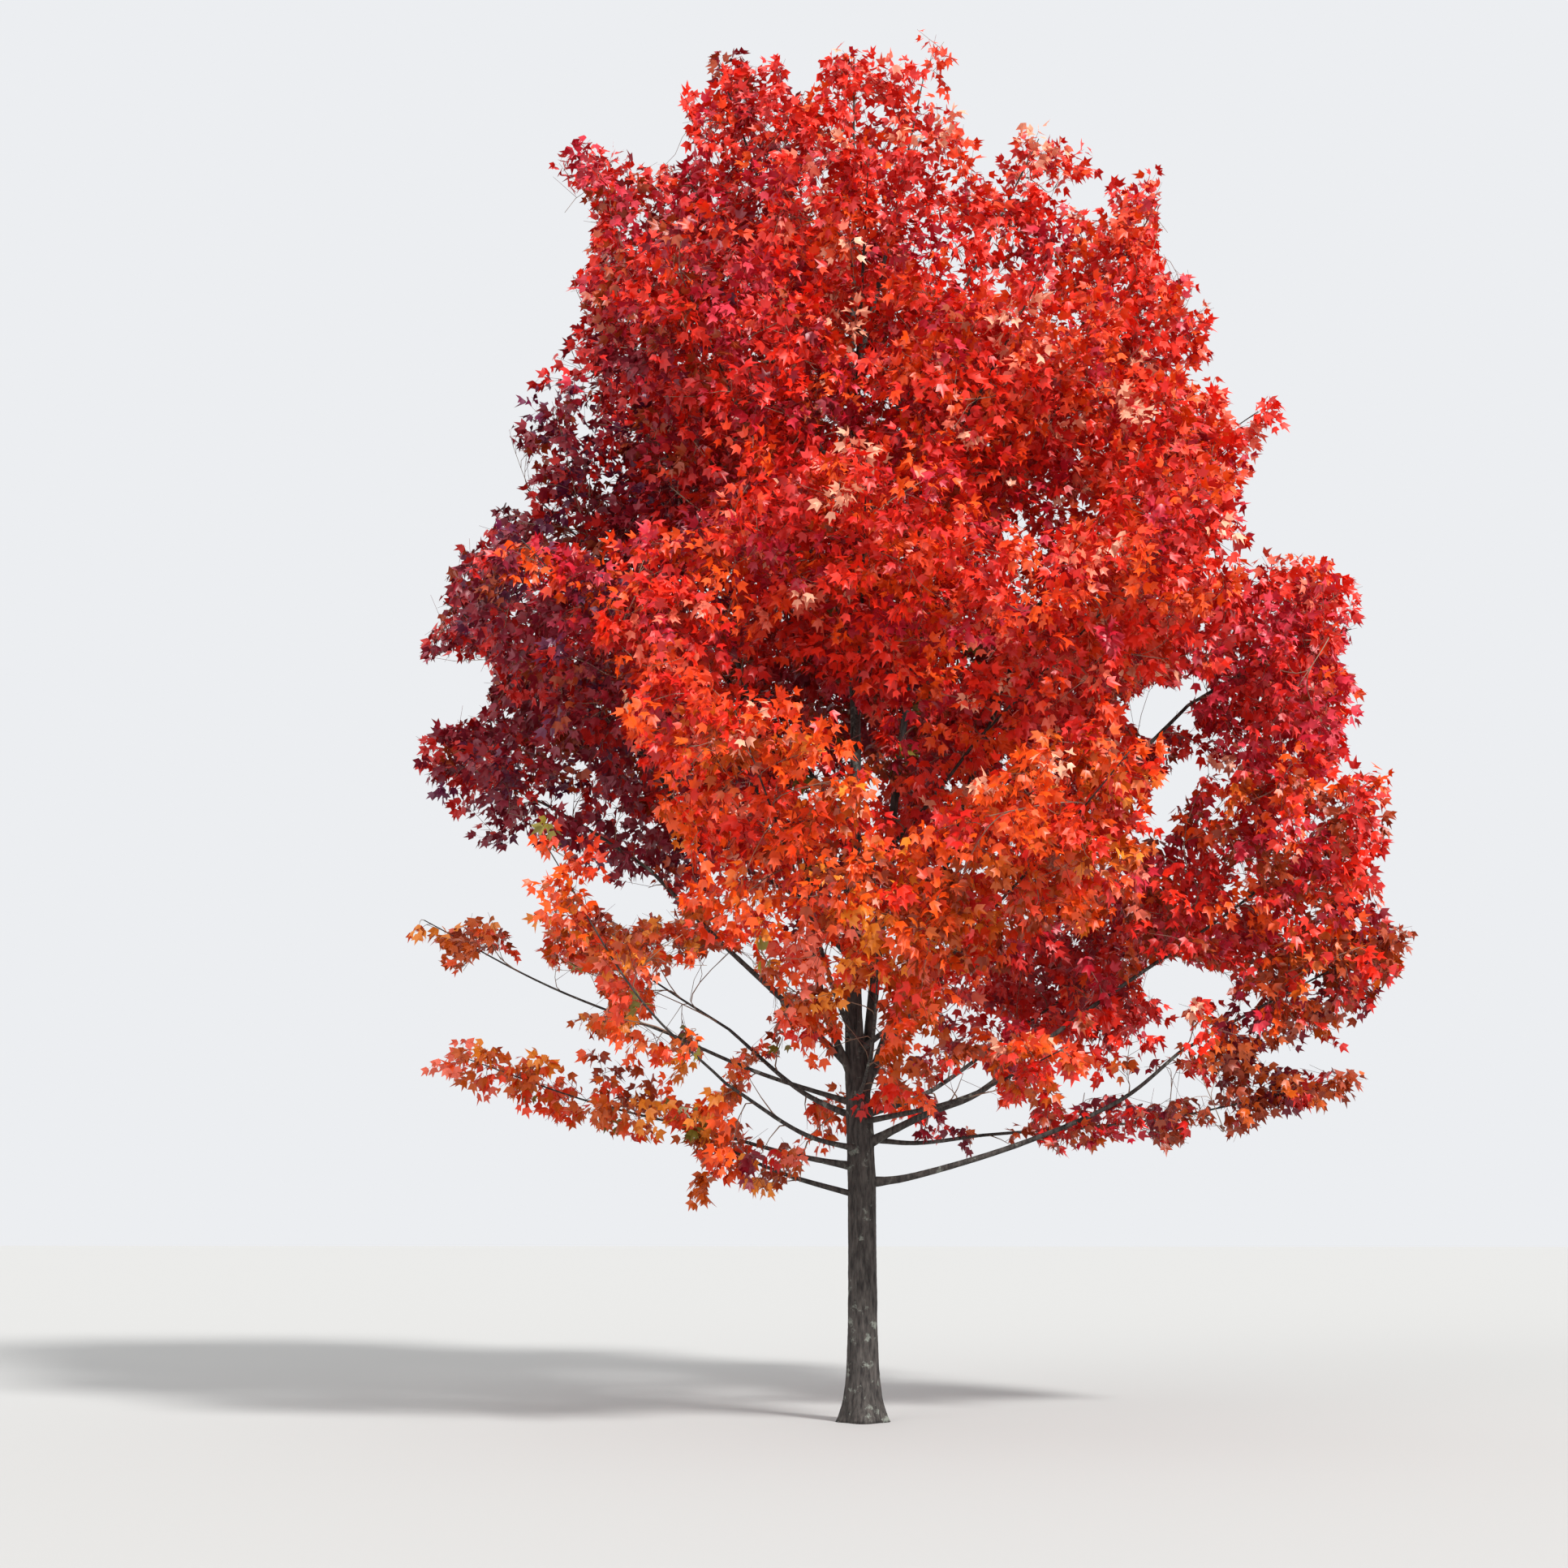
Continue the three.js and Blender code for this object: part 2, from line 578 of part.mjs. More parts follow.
// A mass: its stem, and twigs to places spread through its space, each with a leaf at its end.
function makeMass(space, index, taken) {
  const stem = stems[index];
  const draw = dealer(index + 1);
  const facing = space.side.clone().addScaledVector(up, 0.3);
  const stemEnd = stem.curve.getPoint(1);
  const tipHeading = space.tip.clone().sub(stemEnd).normalize();
  const tipLeaf = leafSections(stemEnd, tipHeading, stemEnd.distanceTo(space.tip));
  const stemSections = twigSections(stem.curve, 3, stem.radiusAt);
  let solid = toSolid(bladeGeometry([...stemSections, ...tipLeaf], facing, true));
  const spacing = THREE.MathUtils.clamp(spacingShare * space.halves[2], leastSpacing, mostSpacing);
  for (let count = 0; count < placesDrawn; count += 1) {
    const place = drawPlace(space, draw);
    const isSpread = taken.every((other) => other.distanceTo(place) > spacing);
    const twig = isSpread && isFree(place, index) && growTwig(index, place, solid, draw);
    if (twig) {
      solid = solid.add(twig);
      taken.push(place);
    }
  }
  return toMesh(space.name, cutByLimbs(solid), leafMaterials[masses[space.name].tone]);
}

const takenPlaces = spaces.map((space, index) => stems[index].curve.getPoint(1).lerp(space.tip, leafMiddle));
spaces.forEach((space, index) => tree.add(makeMass(space, index, takenPlaces)));

export default tree;
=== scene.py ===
import math
from collections import defaultdict

import bmesh
import bpy
import numpy as np
from bpy.props import FloatProperty, FloatVectorProperty, IntProperty, PointerProperty
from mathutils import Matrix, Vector, noise


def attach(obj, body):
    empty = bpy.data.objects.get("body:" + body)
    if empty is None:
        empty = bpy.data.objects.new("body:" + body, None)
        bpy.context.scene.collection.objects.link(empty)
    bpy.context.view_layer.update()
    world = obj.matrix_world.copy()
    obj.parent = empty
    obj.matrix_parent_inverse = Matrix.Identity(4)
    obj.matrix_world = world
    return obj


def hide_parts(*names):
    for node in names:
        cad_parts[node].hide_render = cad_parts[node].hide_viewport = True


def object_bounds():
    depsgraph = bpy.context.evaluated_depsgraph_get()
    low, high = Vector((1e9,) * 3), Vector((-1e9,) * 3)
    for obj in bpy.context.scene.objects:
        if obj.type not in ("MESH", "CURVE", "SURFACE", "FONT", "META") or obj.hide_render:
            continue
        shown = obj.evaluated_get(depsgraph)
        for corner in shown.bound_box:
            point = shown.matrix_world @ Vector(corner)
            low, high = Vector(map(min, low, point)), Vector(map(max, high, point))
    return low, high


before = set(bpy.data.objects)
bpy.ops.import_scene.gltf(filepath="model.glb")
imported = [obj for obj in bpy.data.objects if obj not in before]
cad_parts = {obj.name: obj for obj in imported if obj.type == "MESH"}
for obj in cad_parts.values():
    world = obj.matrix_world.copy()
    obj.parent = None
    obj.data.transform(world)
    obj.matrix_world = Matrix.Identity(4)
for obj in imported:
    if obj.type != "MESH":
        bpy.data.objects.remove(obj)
CAD_BOX = [list(corner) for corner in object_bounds()]

bl_info = {
    "name": "Autumn maple",
    "version": (1, 0, 0),
    "blender": (4, 5, 0),
    "location": "3D View > Sidebar > Maple",
    "description": "Bark, twigs and autumn leaves for a young maple, grown from its trunk, boughs and masses",
    "category": "Add Mesh",
}

# Everything below is in metres. The tree is seen along +Y, with +X to the right, from the ground's level up.
UP = np.array((0.0, 0.0, 1.0))

# The eye of the portrait: its place, and in degrees how far it looks up and turns to the left.
EYE = (0.0, -18.0, 1.6)
EYE_RISE = 8.41
EYE_TURN = 1.66

# The windows of sky that it sees through the crown and in its outline: their middles and half sizes at the
# trunk, each across and up.
SKY_WINDOWS = (
    (2.05, 4.78, 0.23, 0.19), (-1.0, 2.76, 0.4, 0.34), (-0.55, 2.15, 0.3, 0.26),
    (-1.55, 3.44, 0.25, 0.1), (-2.3, 2.82, 0.55, 0.22), (-2.75, 3.62, 0.4, 0.3),
    (-2.85, 4.94, 0.3, 0.2), (-2.8, 6.35, 0.34, 0.5), (-3.2, 5.5, 0.22, 0.35),
    (-2.36, 7.95, 0.34, 0.8), (2.44, 8.2, 0.3, 0.45), (3.52, 5.1, 0.2, 0.25),
    (-0.38, 9.52, 0.15, 0.24), (-1.42, 8.9, 0.16, 0.2), (0.84, 9.25, 0.22, 0.34),
    (2.0, 1.58, 1.9, 0.22), (2.18, 2.88, 0.26, 0.14), (0.72, 2.16, 0.22, 0.15),
    (2.02, 2.19, 0.32, 0.09), (3.1, 2.38, 0.42, 0.07), (-1.48, 1.66, 0.3, 0.16),
    (-0.36, 1.36, 0.22, 0.2), (3.8, 4.25, 0.16, 0.18), (0.45, 9.86, 0.62, 0.22),
    (0.0, 2.52, 0.13, 0.34),
)

# The rims of the windows: the size, length and seed of each unevenness.
WINDOW_RIMS = ((0.3, 0.26, 5), (0.22, 0.09, 8))

# Places where the crown is fuller than the masses' own spaces: the middle and the half size of each.
FULL_PLACES = (
    ((2.45, -0.1, 4.45), 0.55), ((0.3, -0.1, 9.2), 0.5), ((1.35, -0.1, 8.8), 0.32),
    ((1.25, -0.3, 6.2), 0.55), ((-1.2, 1.9, 4.4), 0.8), ((0.0, 2.2, 4.5), 0.8),
    ((1.3, 1.9, 4.5), 0.8), ((0.1, 1.8, 3.1), 0.85), ((-1.2, 1.6, 3.2), 0.7),
    ((1.3, 1.5, 3.3), 0.6), ((0.2, 1.5, 3.95), 0.75),
)

# Where the boughs set out from, the middle of the crown, and how far it spreads at heights above the ground.
BOUGH_ROOT = (0.0, 0.0, 1.7)
CROWN_MIDDLE = (0.0, 0.0, 4.6)
CROWN_SPREAD = (
    (1.9, 2.4), (2.5, 3.3), (3.5, 3.6), (5.0, 3.4), (6.5, 2.8), (8.0, 2.2), (9.0, 1.4), (9.6, 0.8),
)

# The crown's rim: how sharply spaces give way to each other, its unevenness (size, length, seed and how far
# it is drawn out upwards), and how much further out the full places reach.
SPACE_EDGE = 5
RIM_WAVES = (0.2, 1.1, 3, 1.8)
FULLER_BY = 0.35

# Sprays: how far out they start, how they widen, and the length and seed of their unevenness.
SPRAY_START = 0.3
SPRAY_WIDENING = 0.8
SPRAY_WAVES = (0.34, 6)

# The share of places in use: its rise and its least near the trunk, its values at heights above the ground,
# the left side's loss, and its patches and sprays.
LEAFIER_OUTWARD = 1.15
LEAST_LEAFY = 0.12
LEAFY_HEIGHTS = ((2.2, 0.62), (4.0, 0.7), (5.5, 0.88))
BARER_LEFT = ((-2.2, 0.22), (-0.9, 0.0))
LEAF_PATCHES = (0.4, 0.75, 4, 1.5)
SPRAY_STRENGTH = 0.65

# The trunk's centre line, and its radius at heights above the ground.
TRUNK_LINE = (
    (0, 0, 0), (0, 0, 1.4), (-0.012, 0, 1.9), (-0.05, 0.01, 2.65), (-0.052, 0.02, 3.4),
    (-0.03, 0.015, 4.7), (-0.08, 0, 5.55), (-0.06, -0.01, 6.4), (-0.04, 0, 7.35),
)
TRUNK_GIRTH = (
    (0, 0.1), (1.3, 0.094), (1.9, 0.09), (2.65, 0.06),
    (3.4, 0.044), (4.7, 0.035), (5.6, 0.027), (7.35, 0.013),
)
FLARE = {"radius": 0.062, "height": 0.17, "lobes": 4, "lobe_depth": 0.13}

# The collar under a bough: its place along it, its size and swell over its radius; and the bough's own foot.
COLLAR = {"place": 0.12, "size": 1.7, "swell": 0.3, "foot_swell": 0.45, "foot_length": 0.09}

# Bark: how many ridges and grains there are in a metre, across and upwards, and the share of each.
BARK_RIDGES = (34, 5.5, 1.1)
BARK_GRAIN = (130, 60, 0.28)

# The radius at which the relief is whole, and how it fades on thinner wood or its share on boughs.
TRUNK_RELIEF = (0.09, 0.7)
BOUGH_RELIEF = (0.03, 0.45)

# Faces round the limbs and twigs of each piece.
SIDES = {"trunk_bark": 72, "boughs": 16, "stems": 8, "side_twigs": 5, "fine_twigs": 3, "leafy_shoots": 3}

# Boughs: the height each leaves the trunk at, its bends, its tip and its two radii. One without bends sweeps
# up through a single bend, at a share of the way and dropped by a share of it. All thin out by one power.
SWEEP_PLACE = 0.45
SWEEP_DROP = 0.05
BOUGH_TAPER = 0.85
BOUGHS = {
    "right_leader": (1.88, ((0.06, 0.11, 2.6), (0.15, 0.17, 3.4), (0.41, 0.17, 5.3)), (0.88, 0.12, 6.35),
        (0.045, 0.014)),
    "right_stem": (2.04, ((0.25, -0.17, 2.78), (0.51, -0.26, 3.48), (0.755, -0.32, 4.27)),
        (1.15, -0.35, 5.35), (0.027, 0.013)),
    "upright_bough": (2.18, ((-0.27, -0.15, 2.82), (-0.4, -0.19, 3.9), (-0.75, -0.2, 4.83)),
        (-1.25, -0.15, 6.3), (0.027, 0.013)),
    "left_spreading_bough": (2.29, ((-0.5, -0.26, 2.745), (-0.98, -0.42, 3.19)), (-1.4, -0.52, 3.62),
        (0.023, 0.012)),
    "upper_left_bough": (3.25, ((-0.6, 0.11, 3.6), (-1.06, 0.16, 3.85)), (-1.45, 0.15, 4.45), (0.02, 0.011)),
    "middle_left_bough": (3.95, ((-0.52, 0.01, 4.55),), (-1.15, 0, 5.25), (0.02, 0.012)),
    "low_left_bough": (1.66, ((-0.4, -0.12, 1.735), (-0.7, -0.2, 1.81)), (-1.0, -0.26, 1.9), (0.022, 0.009)),
    "left_layer_bough": (2.08, ((-0.7, 0.06, 2.3),), (-1.3, 0.05, 2.56), (0.018, 0.01)),
    "right_big_bough": (1.8, ((0.42, -0.12, 2.01), (0.77, -0.17, 2.15), (1.12, -0.2, 2.42)),
        (1.65, -0.22, 2.8), (0.027, 0.013)),
    "right_upper_bough": (2.12,
        ((0.38, 0.15, 2.77), (1.05, 0.28, 3.47), (1.52, 0.3, 3.83), (1.85, 0.25, 4.39)),
        (2.27, 0.2, 4.83), (0.026, 0.012)),
    "low_right_bough": (1.56, ((0.36, -0.04, 1.61), (1.06, -0.1, 1.82), (1.71, -0.13, 2.1)),
        (2.13, -0.13, 2.43), (0.025, 0.011)),
    "level_bough": (1.86, (), (0.82, 0.17, 1.88), (0.018, 0.011)),
    "front_low_bough": (2.14, (), (0.06, -0.8, 2.38), (0.016, 0.009)),
    "cascade_bough": (1.78, (), (-0.85, -1.25, 2.18), (0.019, 0.01)),
    "front_rising_bough": (2.52, (), (-0.33, -1.05, 3.3), (0.02, 0.011)),
    "front_right_bough": (2.42, (), (0.7, -1.0, 3.15), (0.02, 0.011)),
    "front_left_bough": (3.5, (), (-0.8, -0.95, 4.25), (0.017, 0.01)),
    "front_high_bough": (3.62, (), (0.76, -1.0, 4.4), (0.017, 0.01)),
    "back_left_bough": (3.05, (), (-0.86, 0.95, 4.25), (0.021, 0.011)),
    "back_right_bough": (3.15, (), (0.74, 1.05, 4.35), (0.021, 0.011)),
    "back_left_low_bough": (1.98, (), (-0.95, 1.15, 2.65), (0.022, 0.011)),
    "back_low_bough": (2.0, (), (1.05, 1.25, 2.6), (0.022, 0.011)),
}

# Masses of foliage: the bough each grows on, or the height on the trunk it leaves at; its furthest tip; half
# its breadth round the crown and half its thickness; and the tone of its leaves. Two, top_right_spire and
# upper_right, are a little slimmer here than the part's own. A mass on the trunk stands off it by a share of
# its way, and one whose middle is nearer the axis than the least lean has its breadth front to back.
TRUNK_STAND_OFF = 0.12
LEAST_LEAN = 0.3
# The maroon tones on the left and the dusk tones low on the right are partly the leaves' own and partly
# painted shade.
MASSES = {
    "top_spire": (7.35, (-0.02, -0.05, 9.6), (0.6, 0.6), "scarlet"),
    "top_left_spire": (6.9, (-1.04, 0.02, 9.6), (0.62, 0.52), "crimson"),
    "top_right_spire": (7.05, (0.5, -0.08, 9.44), (0.48, 0.45), "scarlet"),
    "upper_front": (6.45, (0.08, -1.45, 8.3), (0.8, 0.56), "scarlet"),
    "upper_back": (6.6, (0.06, 1.5, 8.7), (0.8, 0.56), "crimson"),
    "upper_left": (6.25, (-1.25, -0.25, 8.65), (0.7, 0.56), "crimson"),
    "upper_right": (6.35, (1.33, -0.15, 8.92), (0.58, 0.52), "scarlet"),
    "upper_left_spire": ("upright_bough", (-1.88, -0.04, 8.82), (0.85, 0.56), "crimson"),
    "upper_right_spire": ("right_leader", (2.23, 0.06, 8.58), (0.9, 0.78), "scarlet"),
    "upper_front_left": (5.35, (-1.15, -1.9, 7.3), (0.95, 0.62), "crimson"),
    "upper_front_right": (5.5, (1.25, -1.85, 7.4), (0.95, 0.62), "scarlet"),
    "upper_back_left": (5.6, (-1.25, 1.9, 7.65), (0.95, 0.62), "crimson"),
    "upper_back_right": (5.75, (1.3, 1.85, 7.8), (0.95, 0.6), "scarlet"),
    "middle_left": ("middle_left_bough", (-2.62, -0.05, 6.64), (1.0, 0.64), "maroon"),
    "lower_left": ("upper_left_bough", (-3.0, 0.1, 5.65), (0.82, 0.46), "maroon"),
    "middle_right": ("right_stem", (2.84, -0.15, 6.9), (1.05, 0.66), "scarlet"),
    "front": (4.5, (0.05, -2.65, 5.9), (0.95, 0.62), "scarlet"),
    "back": (4.75, (-0.05, 2.8, 6.2), (1.0, 0.65), "crimson"),
    "left_shoulder": ("left_spreading_bough", (-2.8, -0.45, 4.4), (0.8, 0.42), "maroon"),
    "left_layer": ("left_layer_bough", (-3.08, -0.05, 3.38), (0.65, 0.23), "orange"),
    "lowest_left_spray": ("low_left_bough", (-2.7, -0.48, 2.4), (0.52, 0.25), "orange"),
    "drooping_spray": (1.47, (-1.25, -0.5, 1.96), (0.35, 0.26), "orange"),
    "right_lobe": ("right_upper_bough", (3.5, 0, 5.38), (1.0, 0.78), "rosy"),
    "right_low": ("right_big_bough", (3.64, -0.1, 4.35), (0.95, 0.62), "deep"),
    "right_low_tip": ("low_right_bough", (3.72, 0.06, 3.25), (0.7, 0.33), "dusk"),
    "lowest_right_spray": ("level_bough", (3.45, 0.3, 2.3), (0.6, 0.3), "dusk"),
    "front_low_spray": ("front_low_bough", (0.08, -2.45, 3.55), (0.7, 0.42), "orange"),
    "front_right_spray": (1.96, (1.35, -1.6, 2.42), (0.45, 0.24), "ember"),
    "front_left_cascade": ("cascade_bough", (-1.95, -2.15, 3.65), (0.62, 0.36), "orange"),
    "front_left_low": ("front_rising_bough", (-0.75, -2.85, 4.35), (0.8, 0.48), "ember"),
    "front_right_low": ("front_right_bough", (1.65, -2.5, 4.15), (0.95, 0.48), "ember"),
    "front_left": ("front_left_bough", (-2.15, -2.15, 5.55), (0.95, 0.56), "scarlet"),
    "front_right": ("front_high_bough", (2.15, -2.15, 5.7), (1.05, 0.6), "scarlet"),
    "back_left": ("back_left_bough", (-2.25, 2.15, 5.5), (1.1, 0.62), "maroon"),
    "back_right": ("back_right_bough", (2.2, 2.25, 5.7), (1.1, 0.62), "crimson"),
    "back_left_low": ("back_left_low_bough", (-2.25, 2.4, 3.55), (1.1, 0.42), "orange"),
    "back_right_low": ("back_low_bough", (2.4, 2.4, 3.75), (1.1, 0.48), "crimson"),
}

# The stem of a mass. It stops short of the mass's tip, sags, and follows its bough for a share of the way.
# Tests along it find where it is last clear of the sky.
STEM = {"points": 16, "tests": 81, "stop": 0.12, "sag": 0.04, "follow": 0.35, "foot": 0.022, "tip": 0.0035}

# Twigs: the span and number of their possible feet on wood, how much a turn back counts against one, how long
# they keep to the wood's way, and how much thicker than its tip a foot is at the least.
TWIG_STARTS = (0.06, 1.0, 24)
TURN_WEIGHT = 0.75
TWIG_BEND = 0.35
LEAST_TAPER = 1.6

# The points along a twig, its foot's radius as a share of the wood's, and its tip's radius.
SIDE_TWIG = (6, 0.6, 0.0028)
FINE_TWIG = (4, 0.55, 0.0018)

# Places for twigs: how far along and round a mass's space, in its half sizes, how far out in the crown, how
# low, and the tries for a cubic metre or a cube of the spacing.
ALONG_SPACE = (-0.8, 1.15)
ROUND_SPACE = 1.25
TWIG_REACH = 0.88
LOWEST_LEAF = 0.9
MOST_PLACES = 20000
SIDE_TWIG_SPACING = 0.5
SIDE_TWIG_TRIES = 240
FINE_TWIG_TRIES = 18
EGG_VOLUME = 4.2

# Leafy twigs at the end of a stem: their places on it, and how far they stray.
END_TWIGS = (0.80, 0.88, 0.96)
END_STRAY = (0.07, 0.07, 0.04)

# Leafy twigs along a bough: their span on it, how far off it and ahead they end, and the share in use in line
# with the trunk and for each metre further back.
BOUGH_TWIG_SPAN = (0.28, 1.0)
BOUGH_TWIG_AWAY = (0.1, 0.42)
BOUGH_TWIG_AHEAD = 0.12
BOUGH_TWIG_SHARE = 0.8
BOUGH_TWIG_BACKWARD = -0.12

# Shoots. The first two are for the shoot at a twig's end and for the others, and the cut for the crown's rim.
SHOOT_AHEAD = (1.0, 0.35)
SHOOT_STRAY = (0.35, 0.95)
SHOOT_OUTWARD = 0.35
SHOOT_UPWARD = 0.1
SHOOT_STARTS = (0.45, 0.95)
SHOOT_LENGTH = (0.15, 0.28)
SHOOT_CUT = 0.5
SHOOT_GIRTH = (0.0018, 0.001)

# Leaves: where pairs hang on a shoot; how stalks, blades and faces turn; how far out leaves may be; the
# fewest on a shoot; and how far past the part's own box they may reach.
PAIR_START = 0.25
PAIR_SPAN = 0.65
STALK = {"off": 0.85, "ahead": 0.55, "stray": 0.25, "rise": 0.05, "width": 0.0022, "sizes": (0.6, 1.2)}
BLADE = {"along": 0.8, "outward": 0.2, "stray": 0.35, "rise": -0.7, "sizes": (0.72, 1.2), "folds": (0.4, 2.2)}
FACE = {"outward": 0.3, "rise": 0.45, "stray": 0.85}
LEAF_REACH = (0.95, 1.1)
FEWEST_LEAVES = 3
BOX_MARGIN = 0.05

# How sharply a spray takes the tone of the nearest mass, and the share of shoots with a tint of their own.
TONE_EDGE = 3.0
STRAY_TINTS = 0.35

# The painted shade round the trunk and the share of sprays that show it, and the crown's left flank, whose
# maroon is partly its own autumn tint and partly painted shade, with its edge's unevenness (size, length and
# seed).
SHADE = {"radius": 1.2, "front": -0.3, "heights": (2.6, 6.0), "share": 0.5}
SHADED_FLANK = {"edge": -1.65, "waves": (0.45, 0.5, 9), "heights": (4.0, 7.2)}

# Autumn tints: the base colour of each, as shown, and a slot name, which nothing here uses.
TINTS = {
    "bright_scarlet": ("#ea2a12", "leaves_scarlet"),
    "vermilion": ("#e43c10", "leaves_scarlet"),
    "deep_scarlet": ("#c41a12", "leaves_scarlet"),
    # Coral and blush: partly paler leaf undersides and partly painted glints of light on the glossy leaves.
    "coral_and_glint": ("#ea6a50", "leaves_scarlet"),
    "blush_and_glint": ("#f2a484", "leaves_scarlet"),
    "crimson": ("#b8182c", "leaves_crimson"),
    "rose": ("#d83446", "leaves_crimson"),
    "dark_crimson": ("#8a1222", "leaves_crimson"),
    "orange_red": ("#ea4e0c", "leaves_orange"),
    "burnt_orange": ("#c4520c", "leaves_orange"),
    "amber": ("#ea8422", "leaves_orange"),
    "olive": ("#7a6c22", "leaves_orange"),
    "maroon": ("#7e1a2c", "leaves_maroon"),
    "plum": ("#651a3c", "leaves_maroon"),
    "russet": ("#9c3812", "leaves_maroon"),
}

# The roughness and the specular level of every leaf.
LEAF_FINISH = (0.42, 0.45)

# The share of each tint among the sprays of a mass of each tone, and among those in the crown's shade.
TONES = {
    "scarlet": dict(bright_scarlet=25, vermilion=18, deep_scarlet=25, coral_and_glint=5, blush_and_glint=4, orange_red=14,
        crimson=9),
    "crimson": dict(crimson=18, rose=5, deep_scarlet=34, bright_scarlet=18, vermilion=8, dark_crimson=9,
        russet=8),
    "deep": dict(deep_scarlet=30, bright_scarlet=20, orange_red=20, crimson=12, russet=18),
    "rosy": dict(bright_scarlet=30, rose=18, crimson=20, coral_and_glint=6, blush_and_glint=3, deep_scarlet=23),
    # Dusk: darker brownish reds, partly their own and partly painted shade.
    "dusk": dict(russet=36, deep_scarlet=22, burnt_orange=16, dark_crimson=16, maroon=10),
    "ember": dict(orange_red=26, vermilion=22, burnt_orange=8, bright_scarlet=18, coral_and_glint=4, blush_and_glint=3, amber=4,
        deep_scarlet=8, russet=7),
    "orange": dict(orange_red=28, burnt_orange=28, amber=12, vermilion=14, coral_and_glint=3, olive=4, russet=11),
    # Maroon: partly the leaves' own tint and partly painted shade.
    "maroon": dict(maroon=25, plum=12, dark_crimson=27, deep_scarlet=22, russet=14),
    "shade": dict(russet=38, dark_crimson=20, maroon=14, deep_scarlet=16, olive=12),
}

# A three-lobed leaf of length one from the end of its stalk: the right half of its rim, across, along and up.
LEAF_RIM = ((0.25, 0.03, 0.02), (0.47, 0.55, 0.05), (0.14, 0.50, 0.0))
LEAF_TIP = (0.0, 1.0, -0.10)


class MapleBark(bpy.types.PropertyGroup):
    ring_spacing: FloatProperty(
        name="Ring spacing", description="Distance between the rings that carry the bark's relief",
        default=0.022, min=0.005, unit="LENGTH")
    relief: FloatProperty(
        name="Relief", description="Height of the ridges in the bark at the foot of the trunk",
        default=0.0032, min=0.0, unit="LENGTH")
    furrow_colour: FloatVectorProperty(
        name="Furrows", description="Colour of the bark between its ridges", subtype="COLOR",
        default=(0.020, 0.017, 0.016), size=3, min=0, max=1)
    ridge_colour: FloatVectorProperty(
        name="Ridges", description="Colour of the bark on its ridges", subtype="COLOR",
        default=(0.088, 0.077, 0.069), size=3, min=0, max=1)
    lichen_colour: FloatVectorProperty(
        name="Lichen", description="Colour of the pale lichen on the bark", subtype="COLOR",
        default=(0.20, 0.21, 0.18), size=3, min=0, max=1)


class MapleFoliage(bpy.types.PropertyGroup):
    seed: IntProperty(name="Seed", description="Number that the growth starts from", default=7, min=0)
    twig_spacing: FloatProperty(
        name="Twig spacing", description="Distance between the places that the finer twigs reach",
        default=0.217, min=0.1, unit="LENGTH")
    shoots: IntProperty(
        name="Shoots", description="Leafy shoots on each of the finer twigs", default=4, min=1)
    pairs: IntProperty(
        name="Pairs", description="Pairs of leaves on a shoot, besides the leaf at its end", default=4, min=1)
    bough_twigs: IntProperty(
        name="Twigs on boughs", description="Leafy twigs tried on each metre of a bough", default=16, min=0)
    leaf_length: FloatProperty(
        name="Leaf length", description="Length of a leaf's blade, from its stalk to its tip",
        default=0.086, min=0.02, unit="LENGTH")
    stalk_length: FloatProperty(
        name="Stalk length", description="Length of a leaf's stalk", default=0.048, min=0.0, unit="LENGTH")


class MapleStage(bpy.types.PropertyGroup):
    floor_width: FloatProperty(
        name="Floor width", description="Width of the floor", default=90.0, min=1.0, unit="LENGTH")
    key_strength: FloatProperty(
        name="Key light", description="Strength of the main light", default=4.0, min=0.0)
    fill_strength: FloatProperty(
        name="Fill light", description="Strength of the light from the other side", default=0.7, min=0.0)
    air_strength: FloatProperty(
        name="Air", description="Strength of the light from all round", default=1.0, min=0.0)
    lens: FloatProperty(
        name="Lens", description="Focal length of the camera, in millimetres", default=61.04, min=1.0)


# Paths


class Path:
    """A smooth line through points, read by shares of its length."""

    def __init__(self, points, steps=48):
        points = np.asarray(points, float)
        ends = np.vstack([2 * points[0] - points[1], points, 2 * points[-1] - points[-2]])
        t = np.linspace(0, 1, steps, endpoint=False)[:, None]
        pieces = []
        for a, b, c, d in zip(ends, ends[1:], ends[2:], ends[3:]):
            leave, arrive = (c - a) / 2, (d - b) / 2
            square = 3 * (c - b) - 2 * leave - arrive
            cube = 2 * (b - c) + leave + arrive
            pieces.append(b + leave * t + square * t**2 + cube * t**3)
        self.line = np.vstack([*pieces, points[-1:]])
        steps = np.linalg.norm(np.diff(self.line, axis=0), axis=1)
        self.run = np.concatenate([[0], np.cumsum(steps)])
        self.length = self.run[-1]

    def at(self, shares):
        run = np.clip(shares, 0, 1) * self.length
        return np.stack([np.interp(run, self.run, self.line[:, axis]) for axis in range(3)], -1)

    def heading(self, shares):
        shares = np.asarray(shares, float)
        ahead = self.at(shares + 0.004) - self.at(shares - 0.004)
        return ahead / np.linalg.norm(ahead, axis=-1, keepdims=True)


def unit(vectors):
    """The vectors at length one."""
    length = np.linalg.norm(vectors, axis=-1, keepdims=True)
    return vectors / np.maximum(length, 1e-12)


def trunk_radius(height):
    return np.interp(height, *zip(*TRUNK_GIRTH))


TRUNK_PATH = Path(TRUNK_LINE)


def trunk_centre(height):
    line = TRUNK_PATH.line
    return np.array([np.interp(height, line[:, 2], line[:, axis]) for axis in range(3)])


